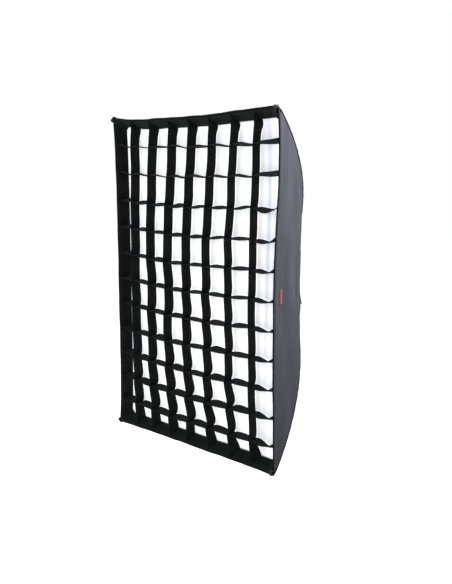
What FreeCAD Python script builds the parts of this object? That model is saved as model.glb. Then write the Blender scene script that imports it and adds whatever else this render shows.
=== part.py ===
"""Rectangular softbox with a fabric grid, on a four-rod speedring with a rotating bayonet insert.

Millimetres. The origin is the centre of the seat where the insert meets the lamp, +Y runs back
along the light's axis into the lamp, +Z is up along the long side of the front, +X is right.
The open front faces -Y.
"""
import FreeCAD, Part
import math
import os
import Sketcher
from FreeCAD import Placement, Rotation, Vector

SIZES = {
    # front opening and the curve of the four seams, in the plane of the axis and a corner
    "front_wide": 800, "front_tall": 1200, "box_depth": 535,
    "seam_end_depth": 15, "seam_end_reach": 85, "seam_start_angle": 34, "seam_end_angle": 80,
    "front_run": 64, "ring_run": 24, "front_radius": 1600, "front_turn": 10, "middle_turn": 17,
    # fabric shell
    "skin_thick": 1.2, "lining_thick": 0.8, "layer_gap": 0.3, "mitre_gap": 0.2, "shell_hole": 79,
    "binding_high": 4, "binding_thick": 1.6, "hem_wide": 14, "hem_thick": 0.8,
    # rods, their caps, pockets and sockets
    "rod_radius": 2.25, "rod_inset": 14, "rod_trim": 12, "cap_radius": 4.5, "cap_long": 18,
    "fit_gap": 0.05, "pocket_radius": 6.3, "pocket_bore": 4.7, "pocket_long": 30, "pocket_end": 2,
    "socket_radius": 6.5, "socket_long": 22, "foot_wide": 32, "foot_high": 14, "foot_thick": 3,
    "foot_reach": 78.6, "foot_screw_offset": 11.5,
    # grid
    "cells_wide": 8, "cells_tall": 12, "strip_thick": 1.2, "grid_depth": 44, "grid_front": 1,
    "pitch_across": 100, "pitch_up": 99, "slot_gap": 0.2, "border_inset": 3.9, "border_thick": 1.6,
    "corner_gap": 24, "strip_gap": 0.3,
    # front diffuser, its tapes and the inner baffle
    "diffuser_depth": 47, "diffuser_thick": 0.8, "diffuser_inset": 5, "notch_wide": 10,
    "notch_tall": 15, "tape_wide": 20, "tape_thick": 1, "tape_front": 3, "tape_back": 43,
    "baffle_depth": 235, "baffle_wide": 440, "baffle_tall": 680, "baffle_thick": 0.8,
    "baffle_hem_wide": 18, "elastic_wide": 10, "elastic_thick": 1, "loop_radius": 5, "loop_wire": 1.2,
    # speedring and bayonet insert
    "ring_radius": 76, "ring_front": 38, "ring_back": 5.3, "boss_wide": 34, "boss_high": 16,
    "boss_reach": 78.5, "boss_centre": 28.8, "hub_radius": 59, "hub_wall": 8, "hub_front": 38.4,
    "flange_radius": 72, "flange_thick": 5, "port_radius": 42, "port_back": 12, "spigot_radius": 46,
    "web_thick": 6, "lug_radius": 49, "lug_thick": 4, "lug_back": 11, "lug_angle": 34,
    "keeper_radius": 63, "keeper_bore": 46, "keeper_thick": 3, "keeper_screws": 6,
    "keeper_screw_circle": 110, "screw_radius": 1.5, "screw_head": 2.7, "screw_head_high": 1.8,
    "screw_long": 9, "collar_inner": 76.4, "collar_thick": 1.4, "collar_front": 20, "collar_back": 8,
    # lock screw
    "lock_depth": 13, "stud_radius": 3, "stud_inner": 63.4, "pad_radius": 4, "pad_inner": 59.4,
    "pad_outer": 63.3, "pad_travel": 1.5, "pad_gap": 0.15, "knob_radius": 10, "knob_inner": 83,
    "knob_long": 18, "knob_notch": 2.2, "knob_notches": 8,
    # closure flap and woven tab
    "flap_wide": 46, "flap_long": 92, "flap_thick": 1.2, "flap_reach": 114, "flap_top": 30,
    "flap_gap": 0.6, "tab_wide": 16, "tab_tall": 52, "tab_thick": 0.6, "tab_back": 66, "tab_top": 20,
}

doc = FreeCAD.newDocument("softbox")
sheet = doc.addObject("Spreadsheet::Sheet", "Sizes")
for row, (alias, number) in enumerate(SIZES.items(), start=1):
    sheet.set(f"A{row}", alias)
    sheet.set(f"B{row}", str(number))
    sheet.setAlias(f"B{row}", alias)
doc.recompute()

kept = []
CORNERS = {"top_right": (1, 1), "top_left": (-1, 1), "bottom_right": (1, -1), "bottom_left": (-1, -1)}
SIDES = ("right", "left", "top", "bottom")


def cell(alias):
    """The number in one cell of the sheet."""
    return float(getattr(sheet, alias))


def keep(feature, label):
    """Name a sub-part; its label is its file's name."""
    feature.Label = label
    kept.append(feature)
    return feature


def bind(feature, **links):
    """Tie each property to an expression over the sheet's cells."""
    for name, text in links.items():
        feature.setExpression(name, text)
    return feature


def solid(label, shape):
    """A sub-part with a shape of its own, where no primitive or sketch fits."""
    feature = doc.addObject("Part::Feature", label)
    feature.Shape = shape
    return keep(feature, label)


def box(label, low, size):
    """A block from its low corner and its lengths, all expressions."""
    block = doc.addObject("Part::Box", label)
    for axis, text in zip("xyz", low):
        block.setExpression(f"Placement.Base.{axis}", text)
    return bind(block, Length=size[0], Width=size[1], Height=size[2])


def cylinder(label, radius, low, high):
    """A cylinder along Y between two depths, both expressions counted along +Y."""
    bar = doc.addObject("Part::Cylinder", label)
    bar.Placement = Placement(Vector(), Rotation(Vector(1, 0, 0), -90))
    bar.setExpression("Placement.Base.y", low)
    return bind(bar, Radius=radius, Height=f"({high}) - ({low})")


def cut(label, base, tool):
    """One shape less another."""
    part = doc.addObject("Part::Cut", label)
    part.Base, part.Tool = base, tool
    return part


def join(label, shapes, kind="Part::MultiFuse"):
    """Several shapes as one, fused or as a group of loose solids."""
    part = doc.addObject(kind, label)
    setattr(part, "Links" if kind == "Part::Compound" else "Shapes", shapes)
    return part


# --- The seam curve: a straight run, three tangent arcs and a straight run to the ring. ---------
half_wide, half_tall = cell("front_wide") / 2, cell("front_tall") / 2
half_diagonal = math.hypot(half_wide, half_tall)
share_x, share_z = half_wide / half_diagonal, half_tall / half_diagonal
start_angle = math.radians(cell("seam_start_angle"))
end_angle = math.radians(cell("seam_end_angle"))
turn_angles = [start_angle]
turn_angles.append(turn_angles[-1] + math.radians(cell("front_turn")))
turn_angles.append(turn_angles[-1] + math.radians(cell("middle_turn")))
turn_angles.append(end_angle)


def heading(angle):
    """Unit direction along a seam, as (y, reach), at this angle from the axis."""
    return Vector(math.cos(angle), -math.sin(angle), 0)


def chord(first, last):
    """Chord of a unit arc that turns from the first angle to the last, as (y, reach)."""
    return Vector(math.sin(last) - math.sin(first), math.cos(last) - math.cos(first), 0)


def seam_radii():
    """The last two arcs' radii, so that the curve ends at the ring's end of the seam."""
    across = Vector(cell("box_depth") - cell("seam_end_depth"),
                    cell("seam_end_reach") - half_diagonal, 0)
    across -= heading(start_angle) * cell("front_run") + heading(end_angle) * cell("ring_run")
    across -= chord(*turn_angles[0:2]) * cell("front_radius")
    second, third = chord(*turn_angles[1:3]), chord(*turn_angles[2:4])
    area = second.x * third.y - second.y * third.x
    return ((across.x * third.y - across.y * third.x) / area,
            (second.x * across.y - second.y * across.x) / area)


ARC_RADII = (cell("front_radius"), *seam_radii())
print("seam radii", [round(radius) for radius in ARC_RADII])


def seam_edges(inset=0.0, trim=0.0):
    """Edges of the seam curve moved inwards by inset, in the plane x = y, y = reach."""
    inward = Vector(-math.sin(start_angle), -math.cos(start_angle), 0)
    here = Vector(-cell("box_depth"), half_diagonal, 0) + inward * inset
    here += heading(start_angle) * trim
    there = here + heading(start_angle) * (cell("front_run") - trim)
    edges = [Part.LineSegment(here, there).toShape()]
    here = there
    for radius, first, last in zip(ARC_RADII, turn_angles, turn_angles[1:]):
        radius -= inset
        middle = here + chord(first, (first + last) / 2) * radius
        there = here + chord(first, last) * radius
        edges.append(Part.Arc(here, middle, there).toShape())
        here = there
    edges.append(Part.LineSegment(here, here + heading(end_angle) * cell("ring_run")).toShape())
    return edges


def seam_points(inset=0.0, count=12):
    """Points along the seam curve, evenly spaced on each of its edges."""
    points = [seam_edges(inset)[0].valueAt(seam_edges(inset)[0].FirstParameter)]
    for edge in seam_edges(inset):
        points.extend(edge.discretize(Number=count)[1:])
    return points


def diagonal_plane(side_x, side_z):
    """Placement that takes (y, reach) drawn in XY to the plane of the axis and one corner."""
    reach = Vector(side_x * share_x, 0, side_z * share_z)
    axis = Vector(0, 1, 0)
    normal = axis.cross(reach)
    return Placement(FreeCAD.Matrix(axis.x, reach.x, normal.x, 0, axis.y, reach.y, normal.y, 0,
                                    axis.z, reach.z, normal.z, 0, 0, 0, 0, 1))


# --- Fabric shell: four outer panels and four linings between the seams. ------------------------
def panel_shape(side, inset, thick):
    """A layer of one side: the seam's outline seen from the side, drawn across, cut at the seams.

    The layer's outer face is the seam curve squeezed to this side's share of the diagonal and
    moved inwards by inset along its own normal.
    """
    flat = side in ("top", "bottom")
    share = share_z if flat else share_x
    across = cell("front_tall") if not flat else cell("front_wide")
    line = [Vector(point.x, point.y * share, 0) for point in seam_points()]
    normals = []
    for before, after in zip([line[0]] + line[:-1], line[1:] + [line[-1]]):
        along = (after - before).normalize()
        normals.append(Vector(along.y, -along.x, 0))
    faces = []
    for depth in (inset, inset + thick):
        curve = Part.BSplineCurve()
        curve.interpolate([point + normal * depth for point, normal in zip(line, normals)])
        faces.append(curve)
    outer, inner = faces
    ends = [Part.LineSegment(outer.StartPoint, inner.StartPoint).toShape(),
            Part.LineSegment(outer.EndPoint, inner.EndPoint).toShape()]
    wire = Part.Wire(Part.sortEdges([outer.toShape(), ends[1], inner.toShape(), ends[0]])[0])
    layer = Part.Face(wire).extrude(Vector(0, 0, across))
    layer.translate(Vector(0, 0, -across / 2))
    # drawn with x = y of the row, y = distance out, z = across
    turn = {"right": Vector(1, 0, 0), "left": Vector(-1, 0, 0),
            "top": Vector(0, 0, 1), "bottom": Vector(0, 0, -1)}[side]
    axis = Vector(0, 1, 0)
    side_way = axis.cross(turn)
    layer.Placement = Placement(FreeCAD.Matrix(axis.x, turn.x, side_way.x, 0,
                                               axis.y, turn.y, side_way.y, 0,
                                               axis.z, turn.z, side_way.z, 0, 0, 0, 0, 1)
                                ).multiply(layer.Placement)
    # keep what lies between the two seam planes on this side
    reach = 2 * (half_tall if flat else half_wide)
    width = reach * (half_wide / half_tall if flat else half_tall / half_wide)
    gap = cell("mitre_gap") / 2 * math.hypot(reach, width) / width
    apex = turn * gap
    long_side = Vector(1, 0, 0) if flat else Vector(0, 0, 1)
    sector = Part.makePolygon([apex, apex + turn * reach + long_side * width,
                               apex + turn * reach - long_side * width, apex])
    wedge = Part.Face(sector).extrude(Vector(0, -2 * cell("box_depth"), 0))
    hole = Part.makeCylinder(cell("shell_hole"), cell("box_depth"), Vector(0, -cell("box_depth") / 2, 0),
                             Vector(0, 1, 0))
    return layer.common(wedge).cut(hole)


lining_inset = cell("skin_thick") + cell("layer_gap")
for side in SIDES:
    solid(f"panel_{side}", panel_shape(side, 0, cell("skin_thick")))
for side in SIDES:
    solid(f"lining_{side}", panel_shape(side, lining_inset, cell("lining_thick")))


# --- Seam bindings, rods, caps and pockets, one of each in every corner. ------------------------
def binding_shape():
    """A folded tape that stands out of the seam, drawn in (y, reach)."""
    low, high = seam_edges(-0.2), seam_edges(-0.2 - cell("binding_high"))
    ends = [Part.LineSegment(low[0].Vertexes[0].Point, high[0].Vertexes[0].Point).toShape(),
            Part.LineSegment(low[-1].Vertexes[-1].Point, high[-1].Vertexes[-1].Point).toShape()]
    wire = Part.Wire(Part.sortEdges(low + high + ends)[0])
    tape = Part.Face(wire).extrude(Vector(0, 0, cell("binding_thick")))
    tape.translate(Vector(0, 0, -cell("binding_thick") / 2))
    return tape


def swept_rod():
    """A round rod along the seam, moved inwards, drawn in (y, reach)."""
    path = Part.Wire(seam_edges(cell("rod_inset"), cell("rod_trim")))
    start = path.Vertexes[0].Point
    ring = Part.Wire(Part.makeCircle(cell("rod_radius"), start, heading(start_angle)))
    bar = path.makePipeShell([ring], True, False)
    print("rod length", round(path.Length), "volume ratio",
          round(bar.Volume / (math.pi * cell("rod_radius") ** 2 * path.Length), 4))
    return bar


def group(label, shape, corners=CORNERS):
    """The same piece in each corner, as one node of separate solids."""
    copies = []
    for side_x, side_z in corners.values():
        piece = shape.copy()
        piece.Placement = diagonal_plane(side_x, side_z).multiply(piece.Placement)
        copies.append(piece)
    return solid(label, Part.makeCompound(copies))


rod_shape = swept_rod()
for name, (side_x, side_z) in CORNERS.items():
    group(f"rod_{name}", rod_shape, {name: (side_x, side_z)})
group("seam_bindings", binding_shape())

rod_start = seam_edges(cell("rod_inset"), cell("rod_trim"))[0].Vertexes[0].Point
along = heading(start_angle)
cap_front = rod_start - along * cell("pocket_end")
cap = Part.makeCylinder(cell("cap_radius"), cell("cap_long"), cap_front, along)
cap = cap.cut(Part.makeCylinder(cell("rod_radius") + cell("fit_gap"), cell("cap_long"), rod_start, along))
group("rod_caps", cap)
pocket_front = cap_front - along * (cell("pocket_end") + cell("layer_gap"))
pocket = Part.makeCylinder(cell("pocket_radius"), cell("pocket_long"), pocket_front, along)
pocket_floor = pocket_front + along * cell("pocket_end")
pocket = pocket.cut(Part.makeCylinder(cell("pocket_bore"), cell("pocket_long"), pocket_floor, along))
group("corner_pockets", pocket)

# --- Sockets that hold the rods' inner ends, bolted to the speedring's bosses. ------------------
inward = heading(end_angle)
rod_end = seam_edges(cell("rod_inset"))[-1].Vertexes[-1].Point
foot = Part.makeBox(cell("foot_high"), cell("foot_thick"), cell("foot_wide"),
                    Vector(-cell("boss_centre") - cell("foot_high") / 2, cell("foot_reach"),
                           -cell("foot_wide") / 2))
tube = Part.makeCylinder(cell("socket_radius"), cell("socket_long"),
                         rod_end + inward * cell("foot_thick"), -inward)
socket = foot.fuse(tube)
socket = socket.cut(Part.makeBox(cell("foot_high") * 2, 20, cell("foot_wide"),
                                 Vector(-cell("boss_centre") - cell("foot_high"),
                                        cell("foot_reach") - 20, -cell("foot_wide") / 2)))
socket = socket.cut(Part.makeCylinder(cell("rod_radius") + cell("fit_gap"), cell("socket_long"),
                                      rod_end + inward * cell("layer_gap"), -inward))
screws = []
screw_tools = []
for offset in (-cell("foot_screw_offset"), cell("foot_screw_offset")):
    seat = Vector(-cell("boss_centre"), cell("foot_reach") + cell("foot_thick"), offset)
    down = Vector(0, -1, 0)
    head = Part.makeCylinder(cell("screw_head"), cell("screw_head_high"), seat, -down)
    screws.append(head.fuse(Part.makeCylinder(cell("screw_radius"), cell("screw_long"), seat, down)))
    screw_tools.append(Part.makeCylinder(cell("screw_radius") + cell("fit_gap"),
                                         cell("screw_long") + cell("layer_gap"), seat, down))
for tool in screw_tools:
    socket = socket.cut(tool)
for name, corner in CORNERS.items():
    group(f"rod_socket_{name}", socket, {name: corner})
group("socket_screws", Part.makeCompound(screws))

# --- Speedring: a ring with four flat bosses, bored for the turning insert. ---------------------
ring = cylinder("ring_blank", "Sizes.ring_radius", "-Sizes.ring_front", "-Sizes.ring_back")
bosses = []
for name, (side_x, side_z) in CORNERS.items():
    boss = doc.addObject("Part::Box", f"boss_{name}")
    bind(boss, Length="Sizes.boss_high", Width="Sizes.boss_reach - Sizes.hub_radius - 6",
         Height="Sizes.boss_wide")
    corner = Vector(-cell("boss_centre") - cell("boss_high") / 2, cell("hub_radius") + 6,
                    -cell("boss_wide") / 2)
    boss.Placement = diagonal_plane(side_x, side_z).multiply(Placement(corner, Rotation()))
    bosses.append(boss)
ring_bore = cylinder("ring_bore", "Sizes.hub_radius + Sizes.fit_gap", "-Sizes.ring_front - 1", "0")
screw_holes = doc.addObject("Part::Feature", "boss_holes")
screw_holes.Shape = Part.makeCompound(
    [tool.copy().transformed(diagonal_plane(*corner).Matrix) for corner in CORNERS.values()
     for tool in screw_tools])
lock_turn = Placement(Vector(0, -cell("lock_depth"), 0), Rotation(Vector(0, 1, 0), -90))


def radial(label, radius, inner, length):
    """A cylinder along the lock screw's axis, which runs out to the left of the ring."""
    bar = doc.addObject("Part::Cylinder", label)
    bar.Placement = lock_turn
    bar.setExpression("Placement.Base.x", f"-({inner})")
    bar.setExpression("Placement.Base.y", "-Sizes.lock_depth")
    return bind(bar, Radius=radius, Height=length)


stud_hole = radial("stud_hole", "Sizes.stud_radius + Sizes.fit_gap", "50", "40")
pad_hole = radial("pad_hole", "Sizes.pad_radius + Sizes.pad_gap", "50",
                  "Sizes.pad_outer + Sizes.pad_travel + Sizes.layer_gap - 50")
speedring = cut("speedring", join("ring_solid", [ring] + bosses), ring_bore)
for tool in (screw_holes, stud_hole, pad_hole):
    speedring = cut(f"speedring_less_{tool.Name}", speedring, tool)
keep(speedring, "speedring_body")

# --- Bayonet insert: a hub, flange and spigot turned in one, with three lugs. -------------------
insert = doc.addObject("PartDesign::Body", "insert")
profile = insert.newObject("Sketcher::SketchObject", "insert_profile")
plane = {feature.Role: feature for feature in insert.Origin.OriginFeatures}
profile.AttachmentSupport = [(plane["XY_Plane"], "")]
profile.MapMode = "FlatFace"
outline = [("port_radius", "port_back", 1), ("spigot_radius", "port_back", 1),
           ("spigot_radius", None, 0), ("flange_radius", None, 0),
           ("flange_radius", "flange_thick", -1), ("hub_radius", "flange_thick", -1),
           ("hub_radius", "hub_front", -1), ("hub_inner", "hub_front", -1),
           ("hub_inner", "web_thick", -1), ("port_radius", "web_thick", -1)]


def outline_point(radius, depth):
    """A corner of the insert's section in numbers."""
    across = cell("hub_radius") - cell("hub_wall") if radius == "hub_inner" else cell(radius)
    return Vector(across, cell(depth[0]) * depth[1] if depth[0] else 0, 0)


corners = [outline_point(radius, (depth, sign)) for radius, depth, sign in outline]
for first, last in zip(corners, corners[1:] + corners[:1]):
    profile.addGeometry(Part.LineSegment(first, last), False)
for number in range(len(outline)):
    profile.addConstraint(Sketcher.Constraint("Coincident", number, 2, (number + 1) % len(outline), 1))
for number, (radius, depth, sign) in enumerate(outline):
    text = "Sizes.hub_radius - Sizes.hub_wall" if radius == "hub_inner" else f"Sizes.{radius}"
    index = profile.addConstraint(Sketcher.Constraint("DistanceX", -1, 1, number, 1, corners[number].x))
    profile.setExpression(f"Constraints[{index}]", text)
    if depth:
        index = profile.addConstraint(Sketcher.Constraint("DistanceY", -1, 1, number, 1,
                                                          corners[number].y))
        profile.setExpression(f"Constraints[{index}]", f"{sign} * Sizes.{depth}")
    else:
        profile.addConstraint(Sketcher.Constraint("PointOnObject", number, 1, -1))
turned = insert.newObject("PartDesign::Revolution", "insert_turned")
turned.Profile = profile
turned.ReferenceAxis = (profile, ["V_Axis"])
turned.Angle = 360
doc.recompute()
lug = insert.newObject("Sketcher::SketchObject", "lug_profile")
lug.AttachmentSupport = [(plane["XZ_Plane"], "")]
lug.MapMode = "FlatFace"
lug.setExpression("AttachmentOffset.Base.z", "-Sizes.lug_back")
half_lug = math.radians(cell("lug_angle") / 2)
inner_lug, outer_lug = cell("spigot_radius") - 1, cell("lug_radius")
middle_of_lug = math.pi / 2
ends = (middle_of_lug - half_lug, middle_of_lug + half_lug)


def around(radius, angle):
    """A point on a circle in the sketch."""
    return Vector(radius * math.cos(angle), radius * math.sin(angle), 0)


for radius in (inner_lug, outer_lug):
    lug.addGeometry(Part.ArcOfCircle(Part.Circle(Vector(), Vector(0, 0, 1), radius), *ends), False)
for angle in ends:
    lug.addGeometry(Part.LineSegment(around(inner_lug, angle), around(outer_lug, angle)), False)
for first, last in (((0, 1), (2, 1)), ((0, 2), (3, 1)), ((1, 1), (2, 2)), ((1, 2), (3, 2))):
    lug.addConstraint(Sketcher.Constraint("Coincident", *first, *last))
for number, text in enumerate(("Sizes.spigot_radius - 1", "Sizes.lug_radius")):
    index = lug.addConstraint(Sketcher.Constraint("Radius", number, (inner_lug, outer_lug)[number]))
    lug.setExpression(f"Constraints[{index}]", text)
lug_pad = insert.newObject("PartDesign::Pad", "lug_pad")
lug_pad.Profile = lug
lug_pad.setExpression("Length", "Sizes.lug_thick")
doc.recompute()
lugs = insert.newObject("PartDesign::PolarPattern", "lugs")
lugs.Originals = [lug_pad]
lugs.Axis = (plane["Y_Axis"], [""])
lugs.Angle = 360
lugs.Occurrences = 3
insert.Tip = lugs
doc.recompute()
screw_circle = Vector(cell("keeper_screw_circle") / 2, 0, 0)
screw_centres = [Rotation(Vector(0, 1, 0), 360 * number / cell("keeper_screws")).multVec(screw_circle)
                 for number in range(int(cell("keeper_screws")))]
keeper_front = -cell("hub_front") - cell("keeper_thick")
keeper_screws, keeper_tools = [], []
for centre in screw_centres:
    seat = centre + Vector(0, keeper_front, 0)
    head = Part.makeCylinder(cell("screw_head"), cell("screw_head_high"), seat, Vector(0, -1, 0))
    keeper_screws.append(head.fuse(Part.makeCylinder(cell("screw_radius"), cell("screw_long"), seat,
                                                     Vector(0, 1, 0))))
    keeper_tools.append(Part.makeCylinder(cell("screw_radius") + cell("fit_gap"),
                                          cell("screw_long") + cell("layer_gap"), seat,
                                          Vector(0, 1, 0)))
keeper_holes = doc.addObject("Part::Feature", "keeper_holes")
keeper_holes.Shape = Part.makeCompound(keeper_tools)
keep(cut("insert_drilled", insert, keeper_holes), "bayonet_insert")
keeper = cut("keeper_ring",
             cylinder("keeper_blank", "Sizes.keeper_radius", "-Sizes.hub_front - Sizes.keeper_thick",
                 "-Sizes.hub_front"),
             cylinder("keeper_bore", "Sizes.keeper_bore",
                  "-Sizes.hub_front - Sizes.keeper_thick - 1", "0"))
keep(cut("keeper_drilled", keeper, keeper_holes), "retaining_ring")
solid("retaining_screws", Part.makeCompound(keeper_screws))

# --- Lock screw: a knob on a threaded stud that pushes a nylon pad against the hub. -------------
keep(radial("pad", "Sizes.pad_radius", "Sizes.pad_inner", "Sizes.pad_outer - Sizes.pad_inner"),
     "brake_pad")
stud = radial("stud", "Sizes.stud_radius", "Sizes.stud_inner", "Sizes.knob_inner - Sizes.stud_inner + 5")
knob = radial("knob_blank", "Sizes.knob_radius", "Sizes.knob_inner", "Sizes.knob_long")
knob_notches = []
for number in range(int(cell("knob_notches"))):
    notch = radial(f"knob_notch_{number + 1}", "Sizes.knob_notch", "Sizes.knob_inner - 1",
                   "Sizes.knob_long + 2")
    turn = f"{360 * number / cell('knob_notches')} deg"
    notch.setExpression("Placement.Base.y", f"-Sizes.lock_depth + (Sizes.knob_radius + 1) * cos({turn})")
    notch.setExpression("Placement.Base.z", f"(Sizes.knob_radius + 1) * sin({turn})")
    knob_notches.append(notch)
keep(join("lock_screw", [stud, cut("knob_cut", knob, join("knob_notches", knob_notches,
                                                          "Part::Compound"))]), "lock_knob")

# --- Elastic collar that closes the shell on the ring. ------------------------------------------
collar = cut("collar_band", cylinder("collar_blank", "Sizes.collar_inner + Sizes.collar_thick",
                                     "-Sizes.collar_front", "-Sizes.collar_back"),
             cylinder("collar_bore", "Sizes.collar_inner", "-Sizes.collar_front - 1", "0"))
eyelet = radial("collar_eyelet", "Sizes.stud_radius + 2 * Sizes.layer_gap", "Sizes.ring_radius - 5", "15")
keep(cut("collar", collar, eyelet), "rear_collar")

# --- The lip: the straight front run of the shell, which holds tapes, diffuser and grid. --------
DIAGONAL = "hypot(Sizes.front_wide; Sizes.front_tall)"
SLOPES = {axis: f"(tan(Sizes.seam_start_angle * 1 deg) * Sizes.{name} / {DIAGONAL})"
          for axis, name in (("x", "front_wide"), ("z", "front_tall"))}
HALVES = {"x": "Sizes.front_wide / 2", "z": "Sizes.front_tall / 2"}


def wall(axis, depth, inset):
    """Half width (x) or half height (z) inside the lip, at a depth and a normal inset."""
    return (f"({HALVES[axis]} - {SLOPES[axis]} * ({depth})"
            f" - ({inset}) * sqrt(1 + {SLOPES[axis]} ^ 2))")


def wedge(label, depths, x_front, x_back, z_front, z_back):
    """A block between two depths whose other four faces may slope."""
    block = doc.addObject("Part::Wedge", label)
    return bind(block, Ymin=f"-Sizes.box_depth + {depths[0]}", Ymax=f"-Sizes.box_depth + {depths[1]}",
                Xmin=x_front[0], Xmax=x_front[1], X2min=x_back[0], X2max=x_back[1],
                Zmin=z_front[0], Zmax=z_front[1], Z2min=z_back[0], Z2max=z_back[1])


def lip_band(label, side, depths, insets, corner="Sizes.corner_gap"):
    """A band that follows one wall of the lip, between two depths and two insets."""
    near, far = ("x", "z") if side in ("right", "left") else ("z", "x")
    spans = []
    for depth in depths:
        low, high = wall(near, depth, insets[1]), wall(near, depth, insets[0])
        spans.append((low, high) if side in ("right", "top") else (f"-{high}", f"-{low}"))
    reaches = [(f"-({wall(far, depth, 0)} - {corner})", f"{wall(far, depth, 0)} - {corner}")
               for depth in depths]
    if near == "x":
        return wedge(label, depths, *spans, *reaches)
    return wedge(label, depths, *reaches, *spans)


hems = [lip_band(f"hem_{side}", side, ("0", "Sizes.hem_wide"),
                 ("-Sizes.hem_thick - 0.1", "-0.1"), "2") for side in SIDES]
keep(join("front_hem", hems, "Part::Compound"), "front_hem")
lining_face = "(Sizes.skin_thick + Sizes.layer_gap + Sizes.lining_thick)"
tapes = [lip_band(f"loop_{side}", side, ("Sizes.tape_front", "Sizes.tape_back"),
                  (f"{lining_face} + 0.1", f"{lining_face} + 0.1 + Sizes.tape_thick"))
         for side in SIDES]
keep(join("loop_tapes", tapes, "Part::Compound"), "loop_tapes")

# --- Grid: four borders and crossing strips, slotted half through where they cross. -------------
GRID = ("Sizes.grid_front", "(Sizes.grid_front + Sizes.grid_depth)")
BORDER = ("Sizes.border_inset", "(Sizes.border_inset + Sizes.border_thick)")
for side in SIDES:
    keep(lip_band(f"border_{side}", side, GRID, BORDER), f"grid_border_{side}")
MIDDLE = "(Sizes.grid_front + Sizes.grid_depth / 2)"
STRIP_END = f"({BORDER[1]} + Sizes.strip_gap)"
COUNTS = {"x": int(cell("cells_wide")) - 1, "z": int(cell("cells_tall")) - 1}
PITCH = {"x": "Sizes.pitch_across", "z": "Sizes.pitch_up"}
centres = {axis: [f"({PITCH[axis]} * {number - (COUNTS[axis] - 1) / 2})"
                  for number in range(COUNTS[axis])] for axis in "xz"}
slot_wide = "(Sizes.strip_thick + 2 * Sizes.slot_gap)"
full = {axis: f"({HALVES[axis]} * 2)" for axis in "xz"}
slots = {}
slots["vertical"] = join("vertical_slots", [
    box(f"slot_z{number + 1}",
        (f"-{full['x']} / 2", f"-Sizes.box_depth + {MIDDLE} - Sizes.slot_gap",
         f"{centre} - {slot_wide} / 2"),
        (full["x"], "Sizes.grid_depth", slot_wide)) for number, centre in enumerate(centres["z"])],
    "Part::Compound")
slots["horizontal"] = join("horizontal_slots", [
    box(f"slot_x{number + 1}",
        (f"{centre} - {slot_wide} / 2",
         f"-Sizes.box_depth + {MIDDLE} + Sizes.slot_gap - Sizes.grid_depth", f"-{full['z']} / 2"),
        (slot_wide, "Sizes.grid_depth", full["z"])) for number, centre in enumerate(centres["x"])],
    "Part::Compound")
for way, axis, other in (("vertical", "x", "z"), ("horizontal", "z", "x")):
    for number, centre in enumerate(centres[axis], start=1):
        sides = (f"{centre} - Sizes.strip_thick / 2", f"{centre} + Sizes.strip_thick / 2")
        reach = [(f"-{wall(other, depth, STRIP_END)}", wall(other, depth, STRIP_END)) for depth in GRID]
        spans = (sides, sides, *reach) if axis == "x" else (*reach, sides, sides)
        blank = wedge(f"{way}_blank_{number}", GRID, *spans)
        keep(cut(f"{way}_{number}", blank, slots[way]), f"grid_{way}_{number:02d}")

# --- Front diffuser with notched corners, and the tapes sewn round its back. --------------------
DEPTH = "Sizes.diffuser_depth"
wide, tall = (wall(axis, DEPTH, "Sizes.diffuser_inset") for axis in "xz")
sheet_blank = box("diffuser_blank", (f"-{wide}", f"-Sizes.box_depth + {DEPTH}", f"-{tall}"),
                  (f"2 * {wide}", "Sizes.diffuser_thick", f"2 * {tall}"))
notches = [box(f"notch_{name}",
               (f"{wide} - Sizes.notch_wide" if side_x > 0 else f"-{wide} - Sizes.notch_wide",
                f"-Sizes.box_depth + {DEPTH} - 1",
                f"{tall} - Sizes.notch_tall" if side_z > 0 else f"-{tall} - Sizes.notch_tall"),
               ("2 * Sizes.notch_wide", "Sizes.diffuser_thick + 2", "2 * Sizes.notch_tall"))
           for name, (side_x, side_z) in CORNERS.items()]
keep(cut("diffuser", sheet_blank, join("notches", notches, "Part::Compound")), "front_diffuser")
back = f"-Sizes.box_depth + {DEPTH} + Sizes.diffuser_thick"
hook_tapes = []
inner_wide, inner_tall = f"({wide} - 1)", f"({tall} - 1)"
span_tall = f"({tall} - Sizes.notch_tall - Sizes.tape_wide - 8)"
span_wide = f"({wide} - Sizes.notch_wide - 2)"
for sign, name in ((1, "right"), (-1, "left")):
    low = f"{inner_wide} - Sizes.tape_wide" if sign > 0 else f"-{inner_wide}"
    hook_tapes.append(box(f"hook_{name}", (low, back, f"-{span_tall}"),
                          ("Sizes.tape_wide", "Sizes.tape_thick", f"2 * {span_tall}")))
for sign, name in ((1, "top"), (-1, "bottom")):
    low = f"{inner_tall} - Sizes.tape_wide" if sign > 0 else f"-{inner_tall}"
    hook_tapes.append(box(f"hook_{name}", (f"-{span_wide}", back, low),
                          (f"2 * {span_wide}", "Sizes.tape_thick", "Sizes.tape_wide")))
keep(join("diffuser_tapes", hook_tapes, "Part::Compound"), "diffuser_tapes")

# --- Inner baffle, hung on four elastic straps from loops round the rods. -----------------------
baffle_low = "-Sizes.box_depth + Sizes.baffle_depth"
keep(box("baffle", ("-Sizes.baffle_wide / 2", baffle_low, "-Sizes.baffle_tall / 2"),
         ("Sizes.baffle_wide", "Sizes.baffle_thick", "Sizes.baffle_tall")), "inner_baffle")


def rod_at(depth_y):
    """Reach and heading of a rod where it crosses this y."""
    for edge in seam_edges(cell("rod_inset")):
        points = edge.discretize(Number=200)
        for before, after in zip(points, points[1:]):
            if before.x <= depth_y <= after.x:
                part = (depth_y - before.x) / (after.x - before.x)
                return before + (after - before) * part, (after - before).normalize()
    raise ValueError("no rod at this depth")


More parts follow.
